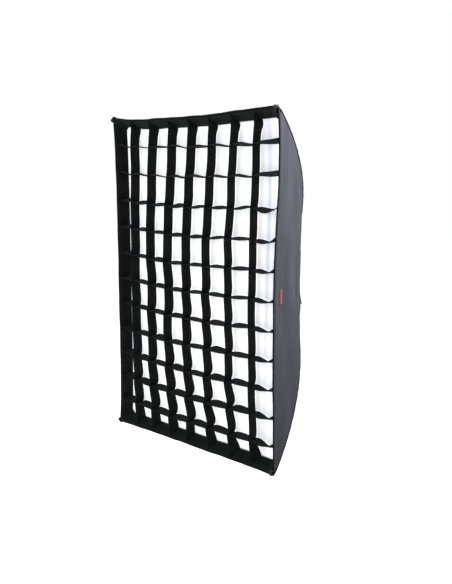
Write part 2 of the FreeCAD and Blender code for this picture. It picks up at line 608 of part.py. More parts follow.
loop_y = -cell("box_depth") + cell("baffle_depth") + cell("baffle_thick") / 2
loop_centre, loop_way = rod_at(loop_y)
baffle_corner = Vector(cell("baffle_wide") / 2, 0, cell("baffle_tall") / 2)
loops, straps = [], []
for side_x, side_z in CORNERS.values():
    place = diagonal_plane(side_x, side_z)
    centre = place.multVec(loop_centre)
    loop = Part.makeTorus(cell("loop_radius"), cell("loop_wire"), centre,
                          place.Rotation.multVec(loop_way))
    loops.append(loop)
    start = Vector(side_x * baffle_corner.x, loop_y, side_z * baffle_corner.z)
    run = centre - start
    run.y = 0
    length = run.Length - cell("loop_radius") - cell("loop_wire") - 5
    strap = Part.makeBox(length, cell("elastic_wide"), cell("elastic_thick"),
                         Vector(3, -cell("elastic_wide") / 2, -cell("elastic_thick") / 2))
    turn = Rotation(Vector(1, 0, 0), run)
    strap.Placement = Placement(start, turn.multiply(Rotation(Vector(1, 0, 0), 90)))
    straps.append(strap)
solid("baffle_loops", Part.makeCompound(loops))
solid("baffle_elastics", Part.makeCompound(straps))

# --- Woven tab on the right panel. --------------------------------------------------------------
tab_depths = ("Sizes.tab_back - Sizes.tab_wide", "Sizes.tab_back")
tab_spans = [(wall("x", depth, "-0.1"), wall("x", depth, "-0.1 - Sizes.tab_thick"))
             for depth in tab_depths]
tab_rise = ("Sizes.tab_top - Sizes.tab_tall", "Sizes.tab_top")
keep(wedge("tab", tab_depths, *tab_spans, tab_rise, tab_rise), "side_tab")

# --- Closure flap behind the right panel, flat against the panel's curve beside the ring. -------
skin = [Vector(point.x, point.y * share_x, 0) for point in seam_points(count=60)]
for before, after in zip(skin, skin[1:]):
    if after.y <= cell("flap_reach") <= before.y:
        flap_way = (after - before).normalize()
        flap_middle = Vector(before.y, before.x, 0)
flap_across = Vector(flap_way.y, flap_way.x, 0)
flap_out = Vector(0, 0, 1).cross(flap_across)
if flap_out.y < 0:
    flap_out = -flap_out
flap = doc.addObject("Part::Box", "flap")
bind(flap, Length="Sizes.flap_wide", Width="Sizes.flap_thick", Height="Sizes.flap_long")
flap_turn = Rotation(-flap_across, flap_out, Vector(0, 0, 1), "ZXY")
flap_corner = flap_middle + flap_out * cell("flap_gap") + flap_across * (cell("flap_wide") / 2)
flap_corner.z = -cell("flap_top") - cell("flap_long")
flap.Placement = Placement(flap_corner, flap_turn)
keep(flap, "closure_flap")
print("flap middle", flap_middle, "across", flap_across, "out", flap_out)

# --- Checks and export. -------------------------------------------------------------------------
doc.recompute()
faults = [feature.Name for feature in doc.Objects
          if "Invalid" in feature.State or "Error" in feature.State]
for feature in kept:
    shape = feature.Shape
    if shape.isNull() or not shape.isValid() or not shape.Solids:
        faults.append(feature.Label)
if faults:
    raise SystemExit(f"failed: {faults}")
os.makedirs("parts", exist_ok=True)
for feature in kept:
    feature.Shape.exportStep(f"parts/{feature.Label}.step")
print(len(kept), "nodes")
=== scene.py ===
import math

import bpy
import numpy as np
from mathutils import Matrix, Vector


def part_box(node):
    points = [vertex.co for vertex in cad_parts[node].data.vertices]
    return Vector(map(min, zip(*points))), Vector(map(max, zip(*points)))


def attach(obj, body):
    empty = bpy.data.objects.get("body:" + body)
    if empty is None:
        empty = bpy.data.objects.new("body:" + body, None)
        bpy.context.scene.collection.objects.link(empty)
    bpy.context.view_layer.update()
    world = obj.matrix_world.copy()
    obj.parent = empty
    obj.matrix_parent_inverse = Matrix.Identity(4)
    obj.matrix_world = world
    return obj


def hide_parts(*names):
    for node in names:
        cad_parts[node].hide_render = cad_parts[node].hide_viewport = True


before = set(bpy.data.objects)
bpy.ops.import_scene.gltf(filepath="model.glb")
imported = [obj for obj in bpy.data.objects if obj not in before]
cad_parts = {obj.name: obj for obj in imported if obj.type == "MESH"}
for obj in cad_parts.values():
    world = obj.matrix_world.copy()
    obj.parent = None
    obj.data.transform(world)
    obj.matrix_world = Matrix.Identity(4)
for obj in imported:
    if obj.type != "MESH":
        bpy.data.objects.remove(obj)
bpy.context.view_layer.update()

# --- Camera ---------------------------------------------------------------------------------------
# A short portrait lens stands to the right of the box, a little above its middle, and looks
# slightly down, so the front, its grid and the right-hand side all show.
def placed(name, data):
    """A new object with this data, in the scene."""
    made = bpy.data.objects.new(name, data)
    bpy.context.collection.objects.link(made)
    return made


FRONT_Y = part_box("front_hem")[0].y
camera = placed("camera", bpy.data.cameras.new("camera"))
camera.data.lens = 45.41
camera.location = (1.858, FRONT_Y - 1.806, 0.404)
camera.rotation_euler = (math.radians(80.59), 0, math.radians(42.84))
bpy.context.scene.camera = camera
bpy.context.scene.view_settings.view_transform = "Standard"


# --- Studio: seamless paper, a white surround and two soft lights ---------------------------------
# The paper is matt white and lit until it burns out, as in a catalogue picture of lighting gear.
# A small strong light with a narrow beam hangs above and to the right, so the shell darkens
# towards its foot. A large weak one stands in front, to the left.
def linear(hex_colour):
    """An sRGB colour such as 3a3c42 as linear red, green, blue and alpha."""
    levels = [int(hex_colour[start:start + 2], 16) / 255 for start in (0, 2, 4)]
    return [((level + 0.055) / 1.055) ** 2.4 if level > 0.04045 else level / 12.92
            for level in levels] + [1.0]


def add(tree, kind, links=None, **settings):
    """A node with its settings; links maps an input's name or number to a value or a socket."""
    made = tree.nodes.new(kind)
    for name, value in settings.items():
        setattr(made, name, value)
    for name, value in (links or {}).items():
        if isinstance(value, bpy.types.NodeSocket):
            tree.links.new(value, made.inputs[name])
        else:
            made.inputs[name].default_value = value
    return made


def new_material(name, **inputs):
    """A node material of one shader, with uniform values set on the shader's own sockets."""
    material = bpy.data.materials.new(name)
    material.use_nodes = True
    tree = material.node_tree
    tree.nodes.clear()
    shader = add(tree, "ShaderNodeBsdfPrincipled", {key.replace("_", " "): value
                                                    for key, value in inputs.items()})
    add(tree, "ShaderNodeOutputMaterial", {"Surface": shader.outputs[0]})
    return material, tree, shader


def blend(tree, amount, first, second):
    """A mix of two colours, or colour sockets, by a socket that runs 0 to 1."""
    return add(tree, "ShaderNodeMix", {0: amount, 6: first, 7: second}, data_type="RGBA").outputs[2]


def mixed_colour(tree, shader, amount, dark, light):
    """Sets the shader's colour to a mix of two hex colours by a socket that runs 0 to 1."""
    tree.links.new(blend(tree, amount, linear(dark), linear(light)), shader.inputs["Base Color"])


def noise(tree, place, scale, detail, **more):
    """The strength, 0 to 1, of a cloud pattern at a place."""
    return add(tree, "ShaderNodeTexNoise", {"Vector": place, "Scale": scale, "Detail": detail, **more}
               ).outputs["Fac"]


def on_body(tree):
    """The place in the object's own frame, in metres."""
    return add(tree, "ShaderNodeTexCoord").outputs["Object"]


world = bpy.data.worlds.new("studio")
world.use_nodes = True
world.node_tree.nodes["Background"].inputs["Color"].default_value = linear("ffffff")
bpy.context.scene.world = world

FLOOR_Z, FLOOR_REACH = -1.30, 14.0
floor_mesh = bpy.data.meshes.new("floor")
floor_mesh.from_pydata([(x * FLOOR_REACH, y * FLOOR_REACH, FLOOR_Z)
                        for x, y in ((-1, -1), (1, -1), (1, 1), (-1, 1))], [], [(0, 1, 2, 3)])
floor = placed("floor", floor_mesh)
paper, tree, shader = new_material("seamless_paper", Roughness=0.9, Emission_Strength=0.35,
                                   Emission_Color=linear("ffffff"))
cloudy = add(tree, "ShaderNodeTexNoise", {"Scale": 6.0, "Detail": 3.0}).outputs["Fac"]
mixed_colour(tree, shader, cloudy, "f6f6f6", "fcfcfc")
floor_mesh.materials.append(paper)


def soft_light(name, place, aim, size, power, spread=180):
    """A square light at a place, turned towards a point; spread is its beam's angle."""
    data = bpy.data.lights.new(name, "AREA")
    data.size, data.energy, data.spread = size, power, math.radians(spread)
    lamp = placed(name, data)
    lamp.location = place
    away = np.subtract(place, aim)
    lamp.rotation_euler = (math.acos(away[2] / np.linalg.norm(away)), 0,
                           math.atan2(away[1], away[0]) + math.pi / 2)


soft_light("overhead", (1.75, 0.25, 1.75), (0.36, -0.34, 0.42), 0.7, 62, spread=58)
soft_light("front", (-0.8, -3.4, 1.6), (0, -0.5, 0.1), 1.6, 30)


# --- Outer shell: four panels of coated slate nylon -----------------------------------------------
# Each panel is a long petal, straight between the two rods that it is sewn over. The cloth is
# tight along the rods, a little slack between them, and creased by being packed in its bag.
HALF_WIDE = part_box("panel_right")[1].x
HALF_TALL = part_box("panel_top")[1].z
CORNER_REACH = math.hypot(HALF_WIDE, HALF_TALL)
SHARE_X, SHARE_Z = HALF_WIDE / CORNER_REACH, HALF_TALL / CORNER_REACH
START_ANGLE = math.radians(34)
SEAM_RUNS = ((0.064, 0), (1.600 * math.radians(10), 10), (1.073 * math.radians(17), 17),
             (0.481 * math.radians(19), 19), (0.024, 0))
SHELL_HOLE, SEAM_END = 0.079, 0.085
SIDES = {"right": ((1, 0, 0), (0, 0, 1)), "left": ((-1, 0, 0), (0, 0, 1)),
         "top": ((0, 0, 1), (1, 0, 0)), "bottom": ((0, 0, -1), (1, 0, 0))}
BACK = np.array((0, 1, 0))
FRONT_SAG = {"right": 0.0062, "left": 0.0115, "top": 0.0155, "bottom": 0.0040}

run_lengths = np.cumsum([0] + [length for length, _ in SEAM_RUNS])
run_angles = START_ANGLE + np.radians(np.cumsum([0] + [turn for _, turn in SEAM_RUNS]))
SEAM_LONG = run_lengths[-1]
fine = np.linspace(0, SEAM_LONG, 4001)
fine_angle = np.interp(fine, run_lengths, run_angles)
fine_y = FRONT_Y + np.cumsum(np.cos(fine_angle)) * (fine[1] - fine[0])
fine_reach = CORNER_REACH - np.cumsum(np.sin(fine_angle)) * (fine[1] - fine[0])


def side_sizes(side):
    """A side's outward way, its lengthwise way, and how the corner's reach is shared to them."""
    out, way = (np.array(vector, float) for vector in SIDES[side])
    return (out, way, SHARE_X, SHARE_Z) if out[0] else (out, way, SHARE_Z, SHARE_X)


def in_space(side, reach, run, y):
    """Points of one side from how far out, how far lengthwise and how far back they lie."""
    out, way, _, _ = side_sizes(side)
    return reach[..., None] * out + run[..., None] * way + y[..., None] * BACK


def rumple(seed, first, second, counts, height):
    """Creases: a seeded sum of sine waves, each with a number of turns along each of two ways."""
    rng = np.random.default_rng(seed)
    total = 0
    for turns_first, turns_second in counts:
        phase, drift, size = rng.uniform(0, math.tau), rng.uniform(-0.4, 0.4), rng.uniform(0.5, 1)
        total = total + size * np.sin(math.tau * (turns_first * first + (turns_second + drift) * second)
                                      + phase)
    return height * total / len(counts) ** 0.5


def smooth_step(value):
    """0 to 1 with level ends: three times the square less twice the cube."""
    value = np.clip(value, 0, 1)
    return value * value * (3 - 2 * value)


def front_sag(side, across):
    """How far the front edge hangs in from the straight line between its corners.

    It fades to nothing at the corners with a high power of across, which runs -1 to 1. The
    top is slackest on the left. The right-hand edge is drawn out by a centimetre near its
    top and in below its middle. Small waves are added to all four.
    """
    across = np.clip(across, -1, 1)
    lean, square = 1.0, 6
    if side == "top":
        lean = 0.64 - 0.36 * np.tanh((across - 0.5) / 0.3)
    if side == "right":
        lean, square = 1 - 2.66 * smooth_step((across - 0.05) / 0.65) \
            - smooth_step((-across - 0.2) / 0.8), 20
    wave = rumple(len(side), across, 0, [(1.1, 0), (2.3, 0), (4.2, 0)], 0.0009)
    return (FRONT_SAG[side] * lean + wave) * (1 - across ** square) ** 1.2


def sag_at(side, across, depth):
    """The front edge's sag carried back into the side, this deep behind the front plane.

    It falls off exponentially, over 110 mm on three sides. The top is held least by its
    hem: there the sag first grows by a third within 30 mm, and then falls off over 350 mm.
    """
    depth = np.maximum(depth, 0)
    if side == "top":
        return front_sag(side, across) * np.exp(-depth / 0.35) * (1.35 - 0.35 * np.exp(-depth / 0.03))
    return front_sag(side, across) * np.exp(-depth / 0.11)


def shell_point(side, along, across, inset):
    """A point of one side: the rods' curve, joined straight across between the two seams.

    along runs 0 to 1 from the front edge to the round hole at the ring, and across runs -1 to
    1 between the seams. Inset moves the point in along the side's normal, and the front
    edge's sag moves it straight in, less and less away from the edge.
    """
    _, _, share_out, share_way = side_sizes(side)
    last_reach = np.minimum(SHELL_HOLE / np.hypot(share_out, across * share_way), SEAM_END)
    last = np.interp(-last_reach, -fine_reach, fine)
    length = along * last
    angle = np.interp(length, fine, fine_angle)
    tilt = np.arctan(np.tan(angle) * share_out)
    sag = sag_at(side, across, length * math.cos(START_ANGLE))
    reach = np.interp(length, fine, fine_reach)
    depth = np.interp(length, fine, fine_y) - np.sin(tilt) * inset
    reach_out = reach * share_out - np.cos(tilt) * inset
    reach_way = across * reach_out * share_way / share_out
    return in_space(side, reach_out - sag, reach_way, depth)


# Each crease that the shell keeps from its bag: where it starts across, its lean and its height.
PACKED_CREASES = [(-0.40, 0.11, 0.0042), (-0.72, 0.07, 0.0028), (0.36, -0.09, 0.0016),
                  (0.02, 0.05, 0.0010)]


def slack(along, across, seed):
    """How far the cloth lies inside the straight surface.

    It is a hollow between the rods, creases that run from rod to rod, a few packed creases
    that stand out as low ridges with an exponential slope on each side, and short puckers
    where the seam gathers the cloth, all fading out at the front hem and at the ring.
    """
    between = np.clip(1 - across ** 2, 0, 1)
    hollow = 0.005 * between * np.sin(math.pi * along ** 0.9)
    creases = rumple(seed, along, across, [(2, 0.3), (4, 0.2), (6, 0.5), (9, 0.4), (13, 0.7), (17, 0.5)],
                     0.0008) * between ** 0.5
    folds = rumple(seed + 3, along, across, [(1, 2.2), (2.4, 1.7), (3.1, 3.3)], 0.0008) * between
    ridges = sum(height * np.exp(-np.abs(across - place - lean * along) / 0.07)
                 for place, lean, height in PACKED_CREASES) * between ** 0.5
    near_seam = np.exp(-(1 - np.abs(across)) / 0.06) * np.clip((1 - np.abs(across)) / 0.02, 0, 1)
    puckers = rumple(seed + 7, along, across, [(21, 0), (29, 0), (37, 0)], 0.0009) * near_seam
    fade = np.clip((along - 0.02) / 0.10, 0, 1) * np.clip((1 - along) / 0.06, 0, 1)
    return (hollow + creases + folds + puckers - ridges) * fade


def surface(name, points, outward, body, thick=0.0, closed=False, offset=-1, cuts=None):
    """A piece from a grid of points, its UVs in metres and its faces turned the outward way.

    The UV is the mean distance walked along the rows and along the columns. A closed surface
    joins its last column to its first, and cuts leaves out the faces where it is true.
    """
    wanted = np.broadcast_to(outward, points.shape)
    if closed:
        points, wanted = (np.concatenate([grid, grid[:, :1]], axis=1) for grid in (points, wanted))
    rows, columns = points.shape[:2]
    first = np.append(0, np.cumsum(np.linalg.norm(np.diff(points, axis=0), axis=2).mean(axis=1)))
    second = np.append(0, np.cumsum(np.linalg.norm(np.diff(points, axis=1), axis=2).mean(axis=0)))
    corner = np.arange(rows * columns).reshape(rows, columns)
    quads = np.stack([corner[:-1, :-1], corner[1:, :-1], corner[1:, 1:], corner[:-1, 1:]], axis=-1)
    normals = np.cross(points[1:, :-1] - points[:-1, :-1], points[:-1, 1:] - points[:-1, :-1])
    if (normals * wanted[:-1, :-1]).sum() < 0:
        quads = quads[..., ::-1]
    quads = quads[~cuts] if cuts is not None else quads.reshape(-1, 4)
    uv = np.stack(np.meshgrid(first, second, indexing="ij"), axis=-1).reshape(-1, 2)
    mesh = bpy.data.meshes.new(name)
    mesh.from_pydata(points.reshape(-1, 3).tolist(), [], quads.tolist())
    mesh.uv_layers.new(name="cloth").data.foreach_set(
        "uv", uv[quads.reshape(-1)].astype(np.float32).reshape(-1))
    mesh.polygons.foreach_set("use_smooth", np.ones(len(quads), bool))
    piece = placed(name, mesh)
    if closed:
        piece.modifiers.new("seam", "WELD").merge_threshold = 1e-6
    if thick:
        wall = piece.modifiers.new("cloth", "SOLIDIFY")
        wall.thickness, wall.offset, wall.use_even_offset = thick, offset, False
    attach(piece, body)
    return piece


def joined(name, pieces):
    """One piece from several, with their modifiers applied first."""
    for piece in pieces:
        with bpy.context.temp_override(object=piece, active_object=piece, selected_objects=[piece]):
            for modifier in list(piece.modifiers):
                bpy.ops.object.modifier_apply(modifier=modifier.name)
    with bpy.context.temp_override(object=pieces[0], active_object=pieces[0],
                                   selected_objects=pieces, selected_editable_objects=pieces):
        bpy.ops.object.join()
    pieces[0].name = name
    return pieces[0]


def dressed(piece, material, slot, *nodes):
    """A piece with its material and the CAD nodes that it stands for; slot is not used."""
    piece.data.materials.clear()
    piece.data.materials.append(material)
    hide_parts(*nodes)
    return piece


def on_cloth(tree):
    """The place on a cloth: its UV, in metres."""
    return add(tree, "ShaderNodeUVMap", uv_map="cloth").outputs[0]


def ridges(tree, place, pitch, way, **more):
    """The height, 0 to 1, of waves whose crests lie one pitch apart."""
    return add(tree, "ShaderNodeTexWave", {"Vector": place, "Scale": math.tau / 20 / pitch, **more},
               bands_direction=way).outputs["Fac"]


def bumped(tree, shader, height, distance, strength, **under):
    """Bumps the shader's normal by a height socket; under may hold the normal that it builds on."""
    bump = add(tree, "ShaderNodeBump", {"Height": height, "Distance": distance,
                                        "Strength": strength, **under})
    tree.links.new(bump.outputs[0], shader.inputs["Normal"])


def cloth(name, dark, light, thread, relief=0.3, streak=(30, 4), crease=0.0006, **inputs):
    """Woven cloth: crossed ridges one thread apart, slow streaks of colour, and soft creases.

    Warp and weft are two wave patterns multiplied together on the cloth's UV, in metres.
    Streaks are noise stretched along the cloth, with so many patches per metre each way.
    """
    material, tree, shader = new_material(name, **inputs)
    place = on_cloth(tree)
    warp, weft = (ridges(tree, place, thread, way, Distortion=0.4) for way in "XY")
    woven = add(tree, "ShaderNodeMath", {0: warp, 1: weft}, operation="MULTIPLY").outputs[0]
    stretched = add(tree, "ShaderNodeMapping", {"Vector": place, "Scale": (*streak, 1)}).outputs[0]
    shade = add(tree, "ShaderNodeMath", {0: woven, 1: 0.18, 2: noise(tree, stretched, 1.0, 5.0)},
                operation="MULTIPLY_ADD")
    spread = add(tree, "ShaderNodeMapRange", {"Value": shade.outputs[0], "From Min": 0.3,
                                              "From Max": 0.8}).outputs[0]
    mixed_colour(tree, shader, spread, dark, light)
    crumple = noise(tree, on_body(tree), 45.0, 3.0, Roughness=0.4)
    soft = add(tree, "ShaderNodeBump", {"Height": crumple, "Distance": crease * 6, "Strength": 0.35})
    bumped(tree, shader, woven, 0.0004, relief, Normal=soft.outputs[0])
    return material


PANEL_FLAT = {"right": (1.20, 0.665, 0.481), "left": (1.20, 0.665, 0.481),
              "top": (0.80, 0.780, 0.378), "bottom": (0.80, 0.780, 0.378)}
RODS = [f"rod_{height}_{hand}" for height in ("top", "bottom") for hand in ("right", "left")]
# Oxford-woven nylon with a polyurethane coat: matt and faintly blue, with hardly any sheen. Its
# threads are half a millimetre apart; they are drawn at 2 mm so that they can show.
shell_nylon = cloth("coated_oxford_nylon", "191a1d", "24252a", 0.002, streak=(9, 4), Roughness=0.7,
                    Sheen_Weight=0.008, Sheen_Roughness=0.4, Specular_IOR_Level=0.005)


SHELL_THICK, LINING_INSET, LINING_THICK = 0.0008, 0.0016, 0.0005


def shell_layer(name, side, inset, thick, seed, rows=170, columns=120):
    """One layer of one side of the shell, with finer steps near its seams."""
    steps = np.linspace(-1, 1, columns)
    along, across = np.meshgrid(np.linspace(0, 1, rows), 0.5 * (steps + np.sin(steps * math.pi / 2)),
                                indexing="ij")
    points = shell_point(side, along, across, inset + slack(along, across, seed))
    out = np.array(SIDES[side][0], float) + np.array((0, 0.6, 0))
    return surface(name, points, out, "shell", thick)


for number, side in enumerate(SIDES):
    panel = shell_layer(f"outer_panel_{side}", side, 0.0, SHELL_THICK, 20 + number)
    dressed(panel, shell_nylon, "outer_nylon", f"panel_{side}")
    wide, long, area = PANEL_FLAT[side]


# --- Silver lining --------------------------------------------------------------------------------
# A second set of petals in aluminium-coated cloth throws the light forward. Behind the front
# hem its first 55 mm are a black lip, where the tapes are sewn on.
LIP_DEEP = 0.055
lining_cloth, tree, shader = new_material("aluminium_coated_cloth", Roughness=0.38, Metallic=0.85)
place = on_cloth(tree)
split = add(tree, "ShaderNodeSeparateXYZ", {"Vector": place}).outputs[0]
lip = add(tree, "ShaderNodeMath", {0: split, 1: LIP_DEEP}, operation="GREATER_THAN").outputs[0]
pebble = add(tree, "ShaderNodeTexVoronoi", {"Vector": place, "Scale": 260.0}).outputs["Distance"]
silver = blend(tree, noise(tree, place, 9.0, 4.0), linear("b9bbbd"), linear("d6d7d8"))
tree.links.new(blend(tree, lip, linear("141517"), silver), shader.inputs["Base Color"])
bumped(tree, shader, pebble, 0.0005, 0.4)
for number, side in enumerate(SIDES):
    lining = shell_layer(f"silver_lining_{side}", side, LINING_INSET, LINING_THICK, 20 + number,
                         130, 90)
    dressed(lining, lining_cloth, "silver_lining", f"lining_{side}")
    wide, long, area = PANEL_FLAT[side]


# --- Seam bindings --------------------------------------------------------------------------------
# Black tape is folded over the raw edges of two panels and their linings and stitched through,
# so each seam stands up as a narrow rib along its rod.
CORNERS = {"top_right": (1, 1), "top_left": (-1, 1), "bottom_right": (1, -1), "bottom_left": (-1, -1)}
BINDING_TALL, BINDING_HALF = 0.0040, 0.0009


def seam_frame(length, corner):
    """Points along a seam, with the ways along it, out from the box, and across the seam."""
    sign_x, sign_z = CORNERS[corner]
    diagonal = np.array((sign_x * SHARE_X, 0, sign_z * SHARE_Z))
    angle = np.interp(length, fine, fine_angle)[..., None]
    reach = np.interp(length, fine, fine_reach)[..., None]
    depth = np.interp(length, fine, fine_y)[..., None]
    forward = np.cos(angle) * BACK - np.sin(angle) * diagonal
    outward = np.sin(angle) * BACK + np.cos(angle) * diagonal
    return reach * diagonal + depth * BACK, forward, outward, np.cross(forward, outward)


def stitches(name, centres, ways, ups, long, wide, body):
    """Running stitches: an eight-faced spindle at each centre, lying along its way."""
    ways = np.broadcast_to(ways, centres.shape)
    ways = ways / np.linalg.norm(ways, axis=-1, keepdims=True)
    ups = np.broadcast_to(ups, centres.shape)
    sides = np.cross(ways, ups)
    shape = np.array([(-0.5, 0, 0), (0, 0.5, 0), (0, 0, 0.4), (0, -0.5, 0), (0, 0, -0.4), (0.5, 0, 0)])
    faces = np.array([(0, 1, 2), (0, 2, 3), (0, 3, 4), (0, 4, 1), (5, 2, 1), (5, 3, 2), (5, 4, 3),
                      (5, 1, 4)])[:, ::-1]
    points = (centres[:, None] + shape[:, :1] * long * ways[:, None] + shape[:, 1:2] * wide
              * sides[:, None] + shape[:, 2:] * wide * ups[:, None])
    mesh = bpy.data.meshes.new(name)
    mesh.from_pydata(points.reshape(-1, 3).tolist(), [],
                     (faces + 6 * np.arange(len(centres))[:, None, None]).reshape(-1, 3).tolist())
    mesh.polygons.foreach_set("use_smooth", np.ones(len(mesh.polygons), bool))
    piece = placed(name, mesh)
    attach(piece, body)
    return piece


# Twill tape: near black, with ribs half a millimetre apart that are drawn at 1.5 mm.
twill = cloth("black_twill_tape", "060708", "101113", 0.0015, relief=0.5, streak=(60, 60),
              Roughness=0.8, Sheen_Weight=0.01, Specular_IOR_Level=0.07)
thread, tree, shader = new_material("bonded_polyester_thread", Roughness=0.45)
mixed_colour(tree, shader, ridges(tree, on_body(tree), 0.0008, "DIAGONAL"), "16171a", "303238")


def sewn(name, rows):
    """Rows of stitches, as one piece of black thread."""
    piece = joined(name, rows)
    piece.data.materials.append(thread)


BINDING_WAVES = [(14, 0), (23, 0), (41, 0)]
bindings, sewing = [], []
for number, corner in enumerate(CORNERS):
    length = np.linspace(0.026, SEAM_LONG - 0.004, 260)
    centre, forward, outward, sideways = seam_frame(length, corner)
    turn = np.linspace(0, math.tau, 13)[:-1]
    tall = BINDING_TALL * (0.5 + 0.5 * np.sign(np.sin(turn)) * np.abs(np.sin(turn)) ** 0.5)
    half = BINDING_HALF * np.sign(np.cos(turn)) * np.abs(np.cos(turn)) ** 0.5
    lean = rumple(40 + number, length, 0, BINDING_WAVES, 0.0005)
    uneven = rumple(50 + number, length, 0, [(9, 0), (31, 0)], 0.0002)[:, None]
    rise = tall + 0.0001 + uneven * tall / BINDING_TALL
    across = half + (lean[:, None] * tall / BINDING_TALL)
    points = centre[:, None] + outward[:, None] * rise[..., None] + sideways[:, None] * across[..., None]
    bindings.append(surface(f"binding_{corner}", points, points - centre[:, None], "shell", closed=True))
    for face in (-1, 1):
        spots = np.arange(0.030, SEAM_LONG - 0.008, 0.0045)
        centre, forward, outward, sideways = seam_frame(spots, corner)
        lean = rumple(40 + number, spots, 0, BINDING_WAVES, 0.0005)
        sewing.append(stitches("seam_stitches", centre + outward * 0.0016
                               + sideways * (face * 0.0010 + lean * 0.4)[:, None],
                               forward, sideways, 0.0032, 0.0007, "shell"))
dressed(joined("seam_bindings_sewn", bindings), twill, "black_webbing", "seam_bindings")
sewn("seam_stitching", sewing)


# --- Front hem ------------------------------------------------------------------------------------
# Black tape is folded round the front edge of each side and sewn through twice, with one row of
# stitches near its back edge.
GROW = {side: math.hypot(1, math.tan(START_ANGLE) * side_sizes(side)[2]) for side in SIDES}


def wall_reach(side, depth, inset):
    """How far out a side's wall stands before it sags, this deep and this far inside it."""
    share = side_sizes(side)[2]
    return CORNER_REACH * share - np.tan(START_ANGLE) * share * depth - GROW[side] * inset


def edge_point(side, depth, inset, across):
    """A point in the straight front part of a side, this deep behind the front plane.

    The wall leans in by the seam's first angle; inset is measured square to the wall, and
    the front edge's sag moves the point straight in. Across is held to the unsagged wall.
    """
    _, _, share_out, share_way = side_sizes(side)
    depth, inset, across = np.broadcast_arrays(depth, inset, across)
    wall = wall_reach(side, depth, inset)
    return in_space(side, wall - sag_at(side, across, depth), across * wall * share_way / share_out,
                    FRONT_Y + depth)


def band(name, side, profile, waves, seed, reach=1.0, thick=0.0):
    """A tape along a side: an open profile of depth and inset pairs, carried from seam to seam."""
    depth, inset = np.array(profile).T
    across = np.linspace(-reach, reach, 160)[:, None]
    ripple = rumple(seed, across, depth * 3, [(9, 1), (17, 2), (26, 1)], waves) * (1 - across ** 10)
    points = edge_point(side, depth, inset + ripple, across)
    return surface(name, points, side_sizes(side)[0], "shell", thick)


hem_bands, hem_sewing = [], []
HEM_PROFILE = [(0.0140, -0.0002), (0.0138, -0.0008), (0.0070, -0.0009), (0.0006, -0.0009),
               (-0.0008, -0.0004), (-0.0012, 0.0008), (-0.0009, 0.0020), (0.0002, 0.0024),
               (0.0030, 0.0024)]
for number, side in enumerate(SIDES):
    hem_bands.append(band(f"hem_{side}", side, HEM_PROFILE, 0.00025, 60 + number))
    out, way, _, share_way = side_sizes(side)
    half = CORNER_REACH * share_way
    spots = np.arange(-half + 0.02, half - 0.02, 0.005) / half
    hem_sewing.append(stitches("hem_stitches", edge_point(side, 0.0115, -0.0010, spots), way, out,
                               0.0035, 0.0007, "shell"))
dressed(joined("front_hem_tape", hem_bands), twill, "black_webbing", "front_hem")
sewn("hem_stitching", hem_sewing)


# --- Corner pockets -------------------------------------------------------------------------------
# A short strap of flat webbing is sewn down outside each corner, folded over the rod's capped
# tip and sewn again inside, so the rod is held as in a stirrup. It squares off the corner.
POCKET = [(-0.036, 0.0010), (-0.024, 0.0013), (-0.010, 0.0010), (-0.003, 0.0000), (0.0014, -0.0022),
          (0.0038, -0.0060), (0.0046, -0.0110), (0.0044, -0.0150), (0.0028, -0.0184),
          (-0.001, -0.0196), (-0.010, -0.0196), (-0.020, -0.0190), (-0.030, -0.0180)]


def smooth_path(points, count):
    """Points evenly along a curve through the given ones, by repeated corner cutting."""
    points = np.array(points, float)
    for _ in range(4):
        cut = np.empty((2 * len(points) - 2, points.shape[1]))
        cut[0::2] = 0.75 * points[:-1] + 0.25 * points[1:]
        cut[1::2] = 0.25 * points[:-1] + 0.75 * points[1:]
        points = np.vstack([points[:1], cut, points[-1:]])
    walked = np.append(0, np.cumsum(np.linalg.norm(np.diff(points, axis=0), axis=1)))
    wanted = np.linspace(0, walked[-1], count)
    return np.stack([np.interp(wanted, walked, points[:, axis]) for axis in range(points.shape[1])], 1)


pockets, pocket_sewing = [], []
shift, rise = smooth_path(POCKET, 60).T
for number, corner in enumerate(CORNERS):
    centre, forward, outward, sideways = seam_frame(np.array([0.0]), corner)
    inner = np.clip((0.004 - rise) / 0.016, 0, 1)
    width = 0.0090 - 0.0022 * inner + rumple(70 + number, shift, rise, [(30, 20)], 0.0003)
    spread = np.linspace(-1, 1, 17)
    drop = 0.0030 * spread ** 2 * np.clip((rise + 0.004) / 0.005, 0, 1)[:, None]
    points = centre + forward * (-shift)[:, None, None] + outward * (rise[:, None] - drop)[..., None] \
        + sideways * (width[:, None] * spread)[..., None]
    pockets.append(surface(f"pocket_{corner}", points, outward * np.sign(rise + 0.006)[:, None, None]
                           - forward * 0.3, "shell", 0.0012))
    for across in (-0.0072, 0.0072):
        run = np.linspace(-0.031, -0.006, 7)
        spots = centre - forward * run[:, None] + outward * 0.0009 + sideways * across
        pocket_sewing.append(stitches("pocket_stitches", spots, forward, outward, 0.0034, 0.0009,
                                      "shell"))
# Plain-weave webbing: thick black threads 1 mm apart that catch the light along their crowns.
webbing = cloth("black_flat_webbing", "08090a", "141517", 0.0018, relief=0.9, streak=(80, 80),
                Roughness=0.75, Sheen_Weight=0.02, Specular_IOR_Level=0.12)
dressed(joined("corner_pocket_straps", pockets), webbing, "black_webbing", "corner_pockets")
sewn("pocket_stitching", pocket_sewing)


